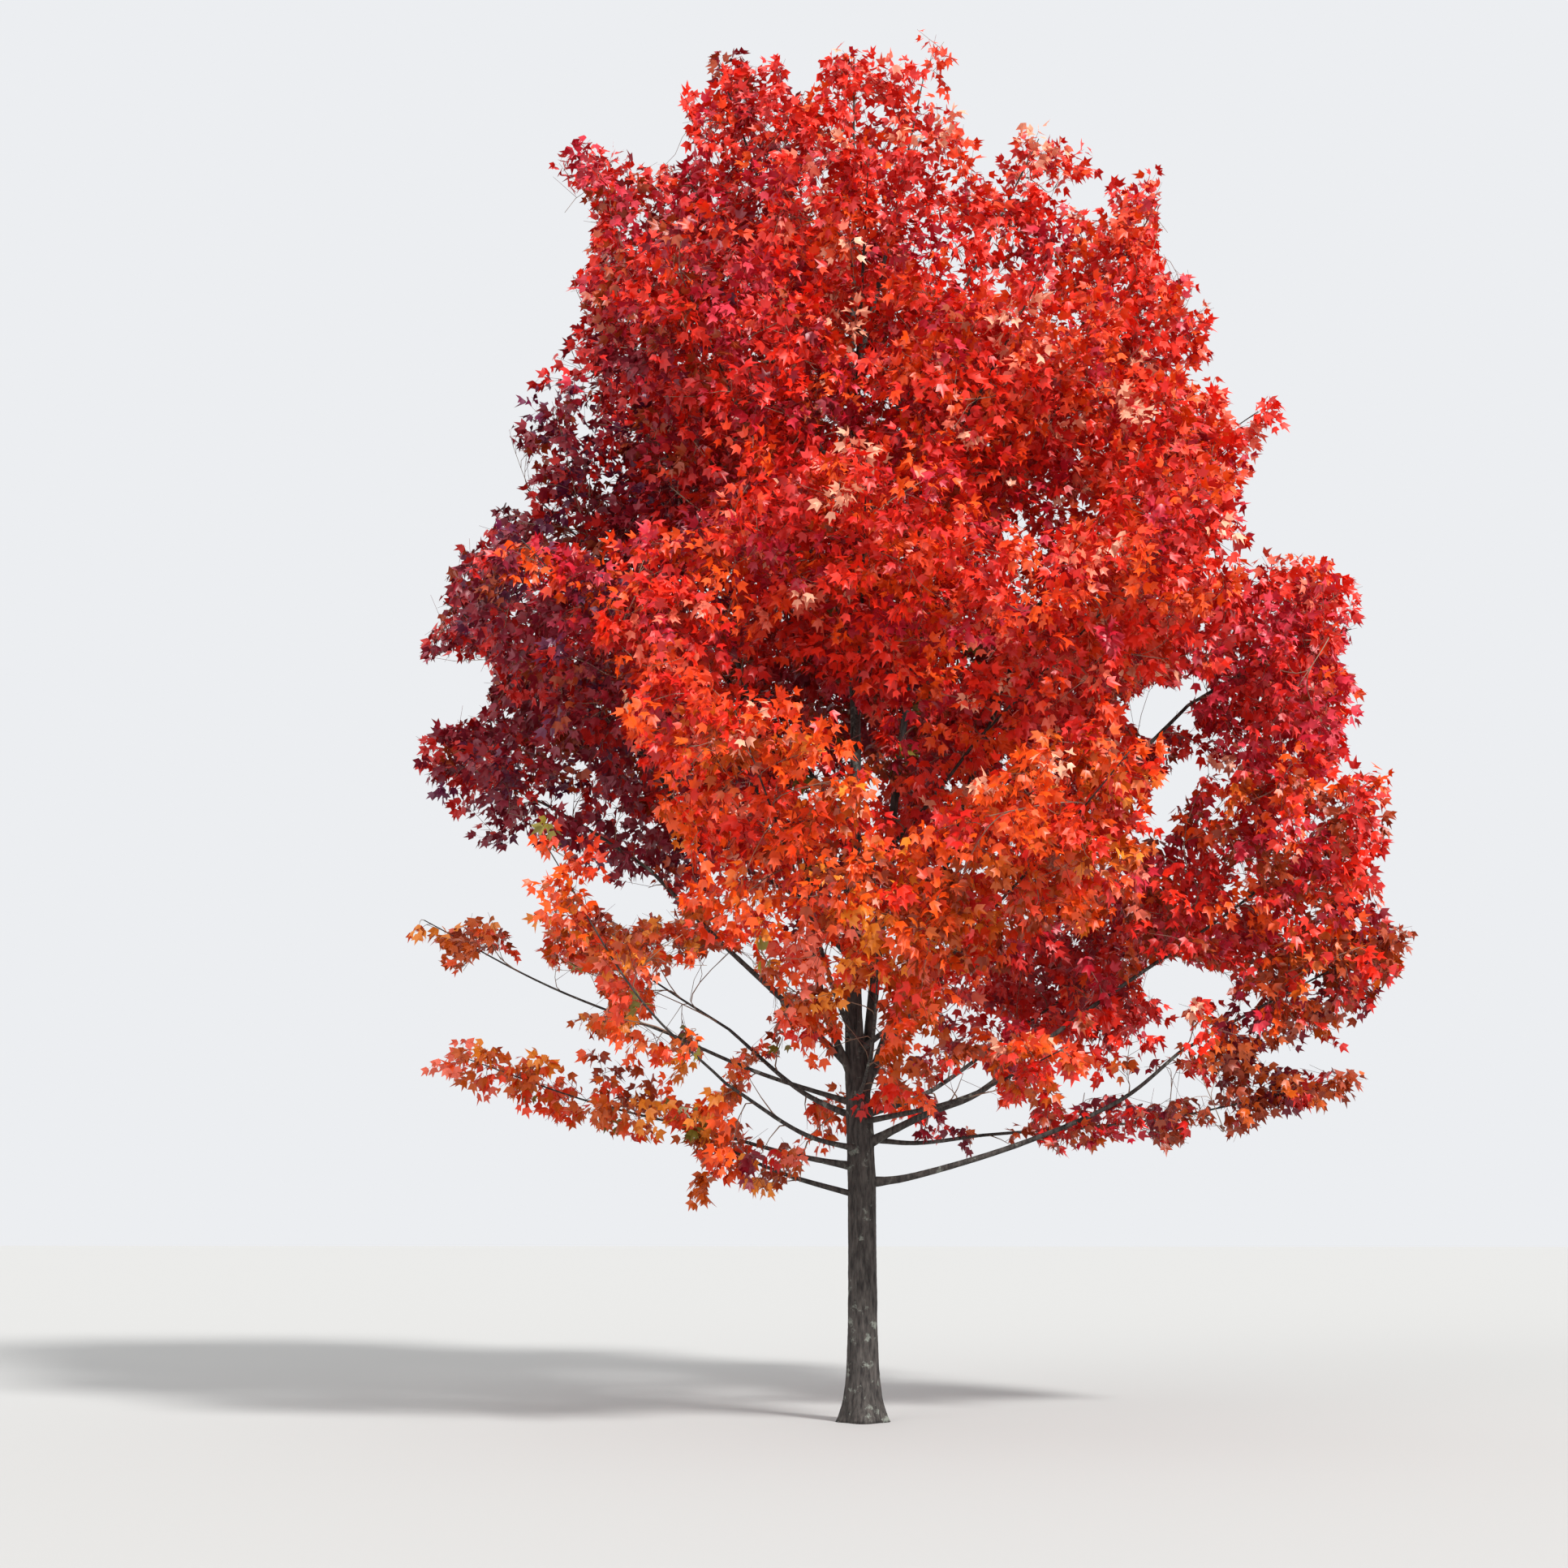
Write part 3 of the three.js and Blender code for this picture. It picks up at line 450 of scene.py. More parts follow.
def bough_path(name):
    height, bends, tip, _ = BOUGHS[name]
    foot, tip = trunk_centre(height), np.array(tip, float)
    if not bends:
        sweep = foot + (tip - foot) * SWEEP_PLACE
        sweep[2] -= SWEEP_DROP * np.linalg.norm(tip - foot)
        bends = (sweep,)
    return Path([foot, *bends, tip])


BOUGH_PATHS = {name: bough_path(name) for name in BOUGHS}


def bough_radius(name, share):
    foot, tip = BOUGHS[name][3]
    return foot + (tip - foot) * np.asarray(share, float) ** BOUGH_TAPER


# Spaces of the masses


class Space:
    """A mass's own egg-shaped space, from its root to its furthest tip."""

    def __init__(self, name):
        on, tip, spread, self.tone = MASSES[name]
        self.name, self.tip = name, np.array(tip, float)
        self.bough = on if isinstance(on, str) else None
        self.foot = BOUGH_PATHS[on].at(1.0) if self.bough else trunk_centre(on)
        self.root = self.foot if self.bough else self.foot + (self.tip - self.foot) * TRUNK_STAND_OFF
        self.centre = (self.root + self.tip) / 2
        outward = self.centre * (1, 1, 0)
        if np.linalg.norm(outward) < LEAST_LEAN:
            outward = np.array((1.0, 0, 0))
        along = unit(self.tip - self.root)
        side = np.cross(UP, unit(outward))
        side = unit(side - along * side.dot(along))
        self.axes = np.array((along, side, np.cross(along, side)))
        self.halves = np.array((np.linalg.norm(self.tip - self.root) / 2, *spread))

    def depth(self, points):
        """How far out points lie: 0 at the middle and 1 at the rim."""
        return np.linalg.norm(((points - self.centre) @ self.axes.T) / self.halves, axis=-1)

    def points(self, along, side, thick):
        return self.centre + (np.stack([along, side, thick], -1) * self.halves) @ self.axes

    def stem(self):
        """The path of the mass's stem, and its radius at its foot."""
        end = self.tip - self.axes[0] * STEM["stop"]
        span = np.linalg.norm(end - self.foot)
        middle = (self.foot + end) / 2 - STEM["sag"] * span * UP
        radius = STEM["foot"]
        if self.bough:
            ahead = self.foot + BOUGH_PATHS[self.bough].heading(1.0) * span / 2
            middle += (ahead - middle) * STEM["follow"]
            radius = float(bough_radius(self.bough, 1.0))
        return Path([self.foot, middle, end]), radius


SPACES = [Space(name) for name in MASSES]


def waves(points, length, seed, upright=1.0, count=14):
    """A smooth unevenness in space, mostly within 1 either way, drawn out upwards where upright is over 1."""
    draw = np.random.default_rng(seed)
    ways = unit(draw.normal(size=(count, 3))) * math.tau / (length * draw.uniform(0.7, 1.5, (count, 1)))
    ways[:, 2] /= upright
    return np.sin(points @ ways.T + draw.uniform(0, math.tau, count)).sum(axis=1) / math.sqrt(count)


def sees_sky(points):
    """Whether each point is seen through a window of sky."""
    scale = -EYE[1] / (points[:, 1] - EYE[1])
    across = points[:, 0] * scale
    height = EYE[2] + (points[:, 2] - EYE[2]) * scale
    seen = np.zeros(len(points), bool)
    flat = np.stack([across, height * 0, height], -1)
    (coarse, *coarse_waves), (fine, *fine_waves) = WINDOW_RIMS
    ragged = 1 + coarse * waves(flat, *coarse_waves) + fine * waves(flat, *fine_waves)
    for place, level, breadth, rise in SKY_WINDOWS:
        seen |= np.hypot((across - place) / breadth, (height - level) / rise) < ragged
    return seen


def reach(points):
    """How far out points lie in the crown: about 1 at its rim, and less where spaces meet."""
    depths = np.array([space.depth(points) for space in SPACES])
    fuller = sum(np.exp(-np.sum((points - middle) ** 2, axis=1) / half**2) for middle, half in FULL_PLACES)
    blended = -np.log(np.exp(-SPACE_EDGE * depths).sum(axis=0)) / SPACE_EDGE
    size, *shape = RIM_WAVES
    return blended - size * waves(points, *shape) - FULLER_BY * fuller


def sprays(points):
    """An unevenness drawn out up and away from the root of the boughs, as their sprays run."""
    way = points - np.array(BOUGH_ROOT)
    distance = np.maximum(np.linalg.norm(way, axis=1, keepdims=True), SPRAY_START)
    return waves(way / distance**SPRAY_WIDENING, *SPRAY_WAVES)


def leafiness(points):
    """The share of places in use: most of them in the light, fewer low down, at the left and by the trunk."""
    share = np.hypot(points[:, 0], points[:, 1]) / np.interp(points[:, 2], *zip(*CROWN_SPREAD))
    inner = np.clip(LEAFIER_OUTWARD * share, LEAST_LEAFY, 1)
    fullness = np.interp(points[:, 2], *zip(*LEAFY_HEIGHTS))
    fullness -= np.interp(points[:, 0], *zip(*BARER_LEFT))
    size, *shape = LEAF_PATCHES
    return inner * np.clip(fullness + size * waves(points, *shape) + SPRAY_STRENGTH * sprays(points), 0, 1)


# Growth


class Places:
    """Places taken so far, no closer together than a spacing."""

    def __init__(self, spacing):
        self.spacing, self.count = spacing, 0
        self.points = np.empty((MOST_PLACES, 3))

    def take(self, point):
        near = self.points[: self.count] - point
        if self.count and np.einsum("ij,ij->i", near, near).min() < self.spacing**2:
            return False
        self.points[self.count] = point
        self.count += 1
        return True


def draw_places(space, index, places, count, draw):
    """Free places in and round a mass's space that belong to it and lie within the crown."""
    along = draw.uniform(*ALONG_SPACE, count)
    radial = np.sqrt(draw.random(count)) * ROUND_SPACE
    turn = draw.random(count) * math.tau
    points = space.points(along, radial * np.cos(turn), radial * np.sin(turn))
    depths = [each.depth(points) for each in SPACES]
    own = np.argmin(depths, axis=0) == index
    free = own & (points[:, 2] > LOWEST_LEAF) & ~sees_sky(points) & (reach(points) < TWIG_REACH)
    free &= draw.random(count) < leafiness(points)
    return [point for point in points[free] if places.take(point)]


class Wood:
    """Wood that twigs grow on: points on it, their headings, its thickness there and the twig they are on."""

    def __init__(self, path, radii):
        shares = np.linspace(*TWIG_STARTS)
        self.points, self.headings = path.at(shares), path.heading(shares)
        self.radii = np.interp(shares, (0, 1), radii)
        self.twigs = np.full(len(shares), -1)

    def branch(self, place):
        """The best point to branch from towards a place: near it, and behind it."""
        way = place - self.points
        distance = np.linalg.norm(way, axis=1)
        lean = 1 - np.sum(way * self.headings, axis=1) / np.maximum(distance, 1e-9)
        return int(np.argmin(distance * (1 + TURN_WEIGHT * lean)))

    def grow(self, made, place, rings, share, least):
        """A twig from the wood to a place, as a line of points. It joins the twigs made."""
        source = self.branch(place)
        foot, heading = self.points[source], self.headings[source]
        bend = foot + heading * TWIG_BEND * np.linalg.norm(place - foot)
        t = np.linspace(0, 1, rings)[:, None]
        line = foot * (1 - t) ** 2 + bend * 2 * t * (1 - t) + place * t**2
        radii = np.linspace(max(least * LEAST_TAPER, self.radii[source] * share), least, rings)
        self.points = np.vstack([self.points, line[1:]])
        self.headings = np.vstack([self.headings, unit(np.gradient(line, axis=0))[1:]])
        self.radii = np.concatenate([self.radii, radii[1:]])
        made["twigs"].append((line, radii))
        made["parents"].append(self.twigs[source])
        self.twigs = np.concatenate([self.twigs, np.full(rings - 1, len(made["twigs"]) - 1)])
        return line


def places_by_bough(path, places, tries, draw):
    """Free places a short way off a bough."""
    count = int(path.length * tries)
    shares = draw.uniform(*BOUGH_TWIG_SPAN, count)
    away = unit(draw.normal(size=(count, 3))) * draw.uniform(*BOUGH_TWIG_AWAY, count)[:, None]
    points = path.at(shares) + path.heading(shares) * BOUGH_TWIG_AHEAD + away
    free = ~sees_sky(points) & (points[:, 2] > LOWEST_LEAF)
    free &= draw.random(count) < BOUGH_TWIG_SHARE + BOUGH_TWIG_BACKWARD * points[:, 1]
    return [point for point in points[free] if places.take(point)]


def clear_share(path):
    """The share of a path that stays clear of the windows of sky at its end."""
    shares = np.linspace(0, 1, STEM["tests"])
    clear = shares[~sees_sky(path.at(shares))]
    return 1.0 if len(clear) == 0 else clear.max()


def in_shade(place):
    """Whether a place is in the shade in the crown."""
    low, high = SHADE["heights"]
    near = np.hypot(place[0], place[1]) < SHADE["radius"] and place[1] > SHADE["front"]
    return near and low < place[2] < high


def on_shaded_left_flank(place):
    """Whether a place is on the crown's left flank, where the maroon is partly painted shade."""
    size, *shape = SHADED_FLANK["waves"]
    low, high = SHADED_FLANK["heights"]
    return place[0] < SHADED_FLANK["edge"] + size * waves(place[None], *shape)[0] and low < place[2] < high


def tone_at(place, draw):
    """The tone of a spray: that of a mass near it, save where painted shade goes: in the shade, and on the
    left flank.
    """
    nearness = np.exp([-TONE_EDGE * each.depth(place) for each in SPACES])
    near = SPACES[draw.choice(len(SPACES), p=nearness / nearness.sum())].tone
    if in_shade(place) and draw.random() < SHADE["share"]:
        return TONES["shade"]
    # The left flank's maroon: partly the leaves' own tint and partly painted shade.
    return TONES["maroon" if on_shaded_left_flank(place) else near]


def leaf_out(made, wood, places, index, settings, draw):
    """Fine twigs from the wood to the places, with their leafy shoots. Each has its own mix of tints."""
    names = list(TINTS)
    for place in places:
        line = wood.grow(made, place, *FINE_TWIG)
        tone = tone_at(place, draw)
        odds = np.array([tone.get(name, 0) for name in names], float)
        tint = draw.choice(len(names), p=odds / odds.sum())
        limit = draw.uniform(*LEAF_REACH)
        for number in range(settings.shoots):
            share = 1.0 if number == 0 else draw.uniform(*SHOOT_STARTS)
            foot = np.array([np.interp(share, np.linspace(0, 1, len(line)), line[:, k]) for k in range(3)])
            own = draw.choice(len(names), p=odds / odds.sum()) if draw.random() < STRAY_TINTS else tint
            ahead, twig = unit(line[-1] - line[-2]), len(made["twigs"]) - 1
            made["shoots"].append((foot, ahead, number, twig, own, index, limit))


def grow_masses(settings):
    """Every stem, twig and shoot of the crown.

    The numbers under "free" open and close the runs of twigs whose leaves may pass the crown's rim.
    """
    draw = np.random.default_rng(settings.seed)
    made = defaultdict(list)
    fine = Places(settings.twig_spacing)
    for index, space in enumerate(SPACES):
        path, radius = space.stem()
        radii = (radius, STEM["tip"])
        shares = np.linspace(0, clear_share(path), STEM["points"])
        made["stems"].append((path.at(shares), np.interp(shares, (0, 1), radii)))
        wood = Wood(path, radii)
        size = float(np.prod(space.halves)) * EGG_VOLUME
        tries = int(SIDE_TWIG_TRIES * size)
        for place in draw_places(space, index, Places(SIDE_TWIG_SPACING), tries, draw):
            wood.grow(made, place, *SIDE_TWIG)
        tries = int(FINE_TWIG_TRIES * size / settings.twig_spacing**3)
        leaf_out(made, wood, draw_places(space, index, fine, tries, draw), index, settings, draw)
        ends = path.at(END_TWIGS) + draw.normal(size=(len(END_TWIGS), 3)) * END_STRAY
        made["free"].append(len(made["twigs"]))
        leaf_out(made, Wood(path, radii), ends[~sees_sky(ends)], index, settings, draw)
        made["free"].append(len(made["twigs"]))
    made["free"].append(len(made["twigs"]))
    for index, space in enumerate(SPACES):
        if space.bough:
            path = BOUGH_PATHS[space.bough]
            places = places_by_bough(path, fine, settings.bough_twigs, draw)
            leaf_out(made, Wood(path, BOUGHS[space.bough][3]), places, index, settings, draw)
    parts = ("feet", "ahead", "numbers", "on", "tints", "masses", "limits")
    made.update((part, np.array(values)) for part, values in zip(parts, zip(*made["shoots"])))
    return made


def outward_from_crown(points):
    """The way out of the crown at each point."""
    return unit(points - np.array(CROWN_MIDDLE))


def aim_shoots(made, settings):
    """The shoots' lines, two points each."""
    draw = np.random.default_rng(settings.seed + 1)
    feet, first = made["feet"], made["numbers"] == 0
    play = draw.normal(size=(len(feet), 3))
    heading = made["ahead"] * np.where(first, *SHOOT_AHEAD)[:, None]
    heading = heading + unit(play) * np.where(first, *SHOOT_STRAY)[:, None]
    heading = unit(heading + outward_from_crown(feet) * SHOOT_OUTWARD + UP * SHOOT_UPWARD)
    length = draw.uniform(*SHOOT_LENGTH, len(feet))[:, None]
    length[reach(feet + heading * length) > made["limits"]] *= SHOOT_CUT
    return np.stack([feet, feet + heading * length], 1)


def hang_leaves(shoots, made, settings):
    """Leaves in pairs along the shoots, each pair turned a quarter from the last, and one at each end."""
    draw = np.random.default_rng(settings.seed + 2)
    heading = unit(shoots[:, 1] - shoots[:, 0])
    across = unit(np.cross(heading, unit(draw.normal(size=heading.shape))))
    other = np.cross(heading, across)
    feet, ways = [], []
    for pair in range(settings.pairs):
        share = PAIR_START + PAIR_SPAN * pair / max(settings.pairs - 1, 1)
        place = shoots[:, 0] * (1 - share) + shoots[:, 1] * share
        sideways = across if pair % 2 == 0 else other
        for sign in (-1, 1):
            feet.append(place)
            ways.append(sideways * sign * STALK["off"] + heading * STALK["ahead"])
    order = np.tile(np.arange(len(shoots)), len(feet) + 1)
    feet, ways = np.vstack([*feet, shoots[:, 1]]), np.vstack([*ways, heading])
    count = len(feet)
    out = outward_from_crown(feet)

    def stray_and_rise(ways, part):
        return ways + draw.normal(size=(count, 3)) * part["stray"] + UP * part["rise"]

    stalk = unit(stray_and_rise(unit(ways), STALK))
    size = settings.leaf_length * draw.uniform(*BLADE["sizes"], count)
    base = feet + stalk * (settings.stalk_length * draw.uniform(*STALK["sizes"], count))[:, None]
    blade = unit(stray_and_rise(stalk * BLADE["along"] + out * BLADE["outward"], BLADE))
    face = stray_and_rise(out * FACE["outward"], FACE)
    face = unit(face - blade * np.sum(face * blade, axis=1)[:, None])
    tip = base + blade * size[:, None]
    low, high = np.array(CAD_BOX[0]) - BOX_MARGIN, np.array(CAD_BOX[1]) + BOX_MARGIN
    keep = np.all((tip > low) & (tip < high), axis=1) & ~sees_sky(base) & ~sees_sky(tip)
    unbounded = np.searchsorted(made["free"], made["on"][order], side="right") % 2 == 1
    keep &= (tip[:, 2] > LOWEST_LEAF) & (unbounded | (reach(tip) < made["limits"][order]))
    keep &= np.bincount(order[keep], minlength=len(shoots))[order] >= FEWEST_LEAVES
    leaves = {
        "foot": feet, "base": base, "blade": blade, "face": face, "size": size, "shoot": order,
        "fold": draw.uniform(*BLADE["folds"], count), "tint": made["tints"][order],
        "mass": made["masses"][order],
    }
    return {key: values[keep] for key, values in leaves.items()}


def in_leaf(made, leaves):
    """Which twigs carry leaves, on their own shoots or on a twig that branches from them."""
    used = np.zeros(len(made["twigs"]), bool)
    used[made["on"][np.unique(leaves["shoot"])]] = True
    for number in range(len(used) - 1, -1, -1):
        if used[number] and made["parents"][number] >= 0:
            used[made["parents"][number]] = True
    return used


_grown = {}


def grown_crown(settings):
    """The crown's growth, worked out once for the twigs and the leaves alike."""
    key = (settings.seed, settings.twig_spacing, settings.shoots, settings.pairs, settings.bough_twigs,
           settings.leaf_length, settings.stalk_length)
    if key not in _grown:
        made = grow_masses(settings)
        shoots = aim_shoots(made, settings)
        leaves = hang_leaves(shoots, made, settings)
        _grown[key] = (made, shoots, leaves)
    return _grown[key]


# Meshes


def tubes(lines, radii, sides):
    """Closed tubes of a few sides along many lines of as many points, as joined vertices and faces."""
    lines, radii = np.asarray(lines), np.asarray(radii)
    count, rings = lines.shape[:2]
    way = unit(lines[:, -1] - lines[:, 0])
    helper = np.where(np.abs(way[:, 2:]) > 0.9, (1.0, 0, 0), (0, 0, 1.0))
    u = unit(np.cross(way, helper))
    v = np.cross(way, u)
    turn = np.arange(sides) * math.tau / sides
    ring = np.cos(turn)[:, None] * u[:, None] + np.sin(turn)[:, None] * v[:, None]
    verts = lines[:, :, None] + ring[:, None] * radii[:, :, None, None]
    first = (np.arange(count) * rings * sides)[:, None, None]
    low = np.arange(rings - 1)[None, :, None] * sides
    a = first + low + np.arange(sides)
    b = first + low + (np.arange(sides) + 1) % sides
    quads = np.stack([a, b, b + sides, a + sides], -1).reshape(-1, 4)
    start = first[:, :, 0] + np.arange(sides)[::-1]
    end = first[:, :, 0] + (rings - 1) * sides + np.arange(sides)
    return verts.reshape(-1, 3), quads, np.vstack([start, end])


def joined_mesh(name, verts, *face_sets):
    """A mesh from arrays of vertices and of faces with as many corners each."""
    mesh = bpy.data.meshes.new(name)
    loops = np.concatenate([faces.ravel() for faces in face_sets])
    totals = np.concatenate([np.full(len(faces), faces.shape[1]) for faces in face_sets])
    mesh.vertices.add(len(verts))
    mesh.vertices.foreach_set("co", np.ascontiguousarray(verts, dtype=np.float32).ravel())
    mesh.loops.add(len(loops))
    mesh.loops.foreach_set("vertex_index", loops.astype(np.int32))
    mesh.polygons.add(len(totals))
    mesh.polygons.foreach_set("loop_start", np.concatenate([[0], np.cumsum(totals)[:-1]]).astype(np.int32))
    mesh.update(calc_edges=True)
    mesh.validate()
    return mesh


def tube_mesh(name, lines, radii):
    return joined_mesh(name, *tubes(lines, radii, SIDES[name]))


def new_object(name, data):
    made = bpy.data.objects.new(name, data)
    bpy.context.scene.collection.objects.link(made)
    return made


def add_piece(name, mesh, material, nodes):
    piece = new_object(name, mesh)
    mesh.materials.append(material)
    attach(piece, "root")
    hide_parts(*nodes)
    return piece


def limb_mesh(name, path, sides, rings, radius_at):
    """A closed limb bent along a path, its radius given for a share of its length, an angle and a point."""
    bm = bmesh.new()
    bmesh.ops.create_cone(bm, cap_ends=True, cap_tris=False, segments=sides, radius1=1, radius2=1, depth=1)
    lengthwise = [edge for edge in bm.edges if abs(edge.verts[0].co.z - edge.verts[1].co.z) > 0.5]
    bmesh.ops.subdivide_edges(bm, edges=lengthwise, cuts=rings - 1, use_grid_fill=True)
    shares = np.linspace(0, 1, rings + 1)
    centres, headings = path.at(shares), path.heading(shares)
    u = unit(np.cross(headings[0], (0.0, 1.0, 0.1)))
    frames = []
    for heading in headings:
        u = unit(u - heading * u.dot(heading))
        frames.append((u, np.cross(heading, u)))
    for vert in bm.verts:
        ring = round((vert.co.z + 0.5) * rings)
        angle = math.atan2(vert.co.y, vert.co.x)
        u, v = frames[ring]
        out = u * math.cos(angle) + v * math.sin(angle)
        vert.co = centres[ring] + out * radius_at(shares[ring], angle, centres[ring], out)
    bmesh.ops.recalc_face_normals(bm, faces=bm.faces)
    mesh = bpy.data.meshes.new(name)
    bm.to_mesh(mesh)
    bm.free()
    mesh.shade_smooth()
    return mesh


def bark_relief(point, depth):
    """The height of the bark at a point: ridges along the limb, and finer roughness."""
    x, y, z = point
    across, along, ridges = BARK_RIDGES
    ridge = noise.fractal(Vector((x * across, y * across, z * along)), 0.7, 2.1, 4)
    across, along, grains = BARK_GRAIN
    grain = noise.noise(Vector((x * across, y * across, z * along)))
    return depth * (ridge * ridges + grain * grains)


# Materials


def colour(code):
    """The linear colour of a hexadecimal one."""
    parts = [int(code[place:place + 2], 16) / 255 for place in (1, 3, 5)]
    return [part / 12.92 if part <= 0.04045 else ((part + 0.055) / 1.055) ** 2.4 for part in parts]


def plain_material(name, rgb, roughness, specular=0.5):
    material = bpy.data.materials.new(name)
    material.use_nodes = True
    shader = material.node_tree.nodes["Principled BSDF"]
    shader.inputs["Base Color"].default_value = (*rgb, 1)
    shader.inputs["Roughness"].default_value = roughness
    shader.inputs["Specular IOR Level"].default_value = specular
    return material


def bark_material(settings):
    """Bark in dark furrows and grey ridges along the limb, with pale lichen."""
    material = plain_material("maple_bark", settings.ridge_colour, 0.88, 0.25)
    tree = material.node_tree
    shader = tree.nodes["Principled BSDF"]

    def node(kind, **values):
        made = tree.nodes.new(kind)
        for key, value in values.items():
            if key in made.inputs:
                made.inputs[key].default_value = value
            else:
                setattr(made, key, value)
        return made

    place = node("ShaderNodeTexCoord")
    stretch = node("ShaderNodeMapping")
    stretch.inputs["Scale"].default_value = (1, 1, 0.2)
    ridges = node("ShaderNodeTexNoise", Scale=42.0, Detail=8.0, Roughness=0.62)
    ramp = node("ShaderNodeValToRGB")
    ends = (0.36, settings.furrow_colour), (0.66, settings.ridge_colour)
    for stop, (position, tone) in zip(ramp.color_ramp.elements, ends):
        stop.position, stop.color = position, (*tone, 1)
    spots = node("ShaderNodeTexNoise", Scale=9.0, Detail=6.0, Roughness=0.7)
    patch = node("ShaderNodeMapRange")
    patch.inputs["From Min"].default_value = 0.58
    patch.inputs["From Max"].default_value = 0.66
    blend = node("ShaderNodeMix", data_type="RGBA")
    blend.inputs["B"].default_value = (*settings.lichen_colour, 1)
    bump = node("ShaderNodeBump", Strength=0.6, Distance=0.004)
    for source, output, target, into in (
        (place, "Object", stretch, "Vector"),
        (stretch, "Vector", ridges, "Vector"),
        (ridges, "Fac", ramp, "Fac"),
        (place, "Object", spots, "Vector"),
        (spots, "Fac", patch, "Value"),
        (patch, "Result", blend, "Factor"),
        (ramp, "Color", blend, "A"),
        (blend, "Result", shader, "Base Color"),
        (ridges, "Fac", bump, "Height"),
        (bump, "Normal", shader, "Normal"),
    ):
        tree.links.new(source.outputs[output], target.inputs[into])
    return material


def shared_bark():
    return bpy.data.materials.get("maple_bark") or bark_material(bpy.context.scene.maple_bark)


# Operators


class MAPLE_OT_trunk(bpy.types.Operator):
    """Make the trunk, with its root flare, its bark and a collar under each bough"""

    bl_idname = "maple.trunk"
    bl_label = "Trunk"

    def execute(self, context):
        settings = context.scene.maple_bark
        collars = [
            (path.at(COLLAR["place"] / path.length), BOUGHS[name][3][0]) for name, path in BOUGH_PATHS.items()
        ]

        def radius_at(share, angle, centre, out):
            fade = math.exp(-max(centre[2], 0) / FLARE["height"])
            flutes = 1 + FLARE["lobe_depth"] * fade * math.cos(FLARE["lobes"] * angle)
            radius = (float(trunk_radius(centre[2])) + FLARE["radius"] * fade) * flutes
            point = centre + out * radius
            for middle, thick in collars:
                away = np.linalg.norm(point - middle) / (thick * COLLAR["size"])
                if away < 3:
                    radius += COLLAR["swell"] * thick * math.exp(-away * away)
            whole, fade = TRUNK_RELIEF
            return radius + bark_relief(point, settings.relief * min(1, (radius / whole) ** fade))

        rings = int(TRUNK_PATH.length / settings.ring_spacing)
        mesh = limb_mesh("trunk_bark", TRUNK_PATH, SIDES["trunk_bark"], rings, radius_at)
        for vert in mesh.vertices:
            vert.co.z = max(vert.co.z, 0)
        add_piece("trunk_bark", mesh, shared_bark(), ["trunk"])
        return {"FINISHED"}


class MAPLE_OT_boughs(bpy.types.Operator):
    """Make the boughs, each tapering from the collar at its foot to its tip"""

    bl_idname = "maple.boughs"
    bl_label = "Boughs"

    def execute(self, context):
        settings = context.scene.maple_bark
        for name, path in BOUGH_PATHS.items():
            foot = BOUGHS[name][3][0]

            def radius_at(share, angle, centre, out):
                inside = float(trunk_radius(centre[2]))
                radius = float(bough_radius(name, share))
                beyond = max(share * path.length - inside, 0)
                radius += COLLAR["foot_swell"] * foot * math.exp(-beyond / COLLAR["foot_length"])
                whole, part = BOUGH_RELIEF
                relief = settings.relief * part * min(1, radius / whole)
                return radius + bark_relief(centre + out * radius, relief)

            rings = max(12, int(path.length / settings.ring_spacing / 1.4))
            mesh = limb_mesh(f"{name}_bark", path, SIDES["boughs"], rings, radius_at)
            add_piece(f"{name}_bark", mesh, shared_bark(), [name])
        return {"FINISHED"}


class MAPLE_OT_twigs(bpy.types.Operator):
    """Grow the stems of the masses, their twigs and their leafy shoots"""

    bl_idname = "maple.twigs"
    bl_label = "Twigs"

    def execute(self, context):
        made, shoots, leaves = grown_crown(context.scene.maple_foliage)
        nodes = list(MASSES)
        mesh = tube_mesh("stems", *zip(*made["stems"]))
        mesh.shade_smooth()
        add_piece("stems", mesh, shared_bark(), nodes)
        brown = plain_material("twig_bark", colour("#8c705e"), 0.7, 0.3)
        kept = [twig for twig, used in zip(made["twigs"], in_leaf(made, leaves)) if used]
        for name, (rings, *_) in (("side_twigs", SIDE_TWIG), ("fine_twigs", FINE_TWIG)):
            twigs = zip(*[twig for twig in kept if len(twig[0]) == rings])
            add_piece(name, tube_mesh(name, *twigs), brown, nodes)
        red = plain_material("shoot_bark", colour("#6a2f2a"), 0.6, 0.3)
        shoots = shoots[np.unique(leaves["shoot"])]
        girth = np.tile(SHOOT_GIRTH, (len(shoots), 1))
        add_piece("leafy_shoots", tube_mesh("leafy_shoots", shoots, girth), red, nodes)
        return {"FINISHED"}


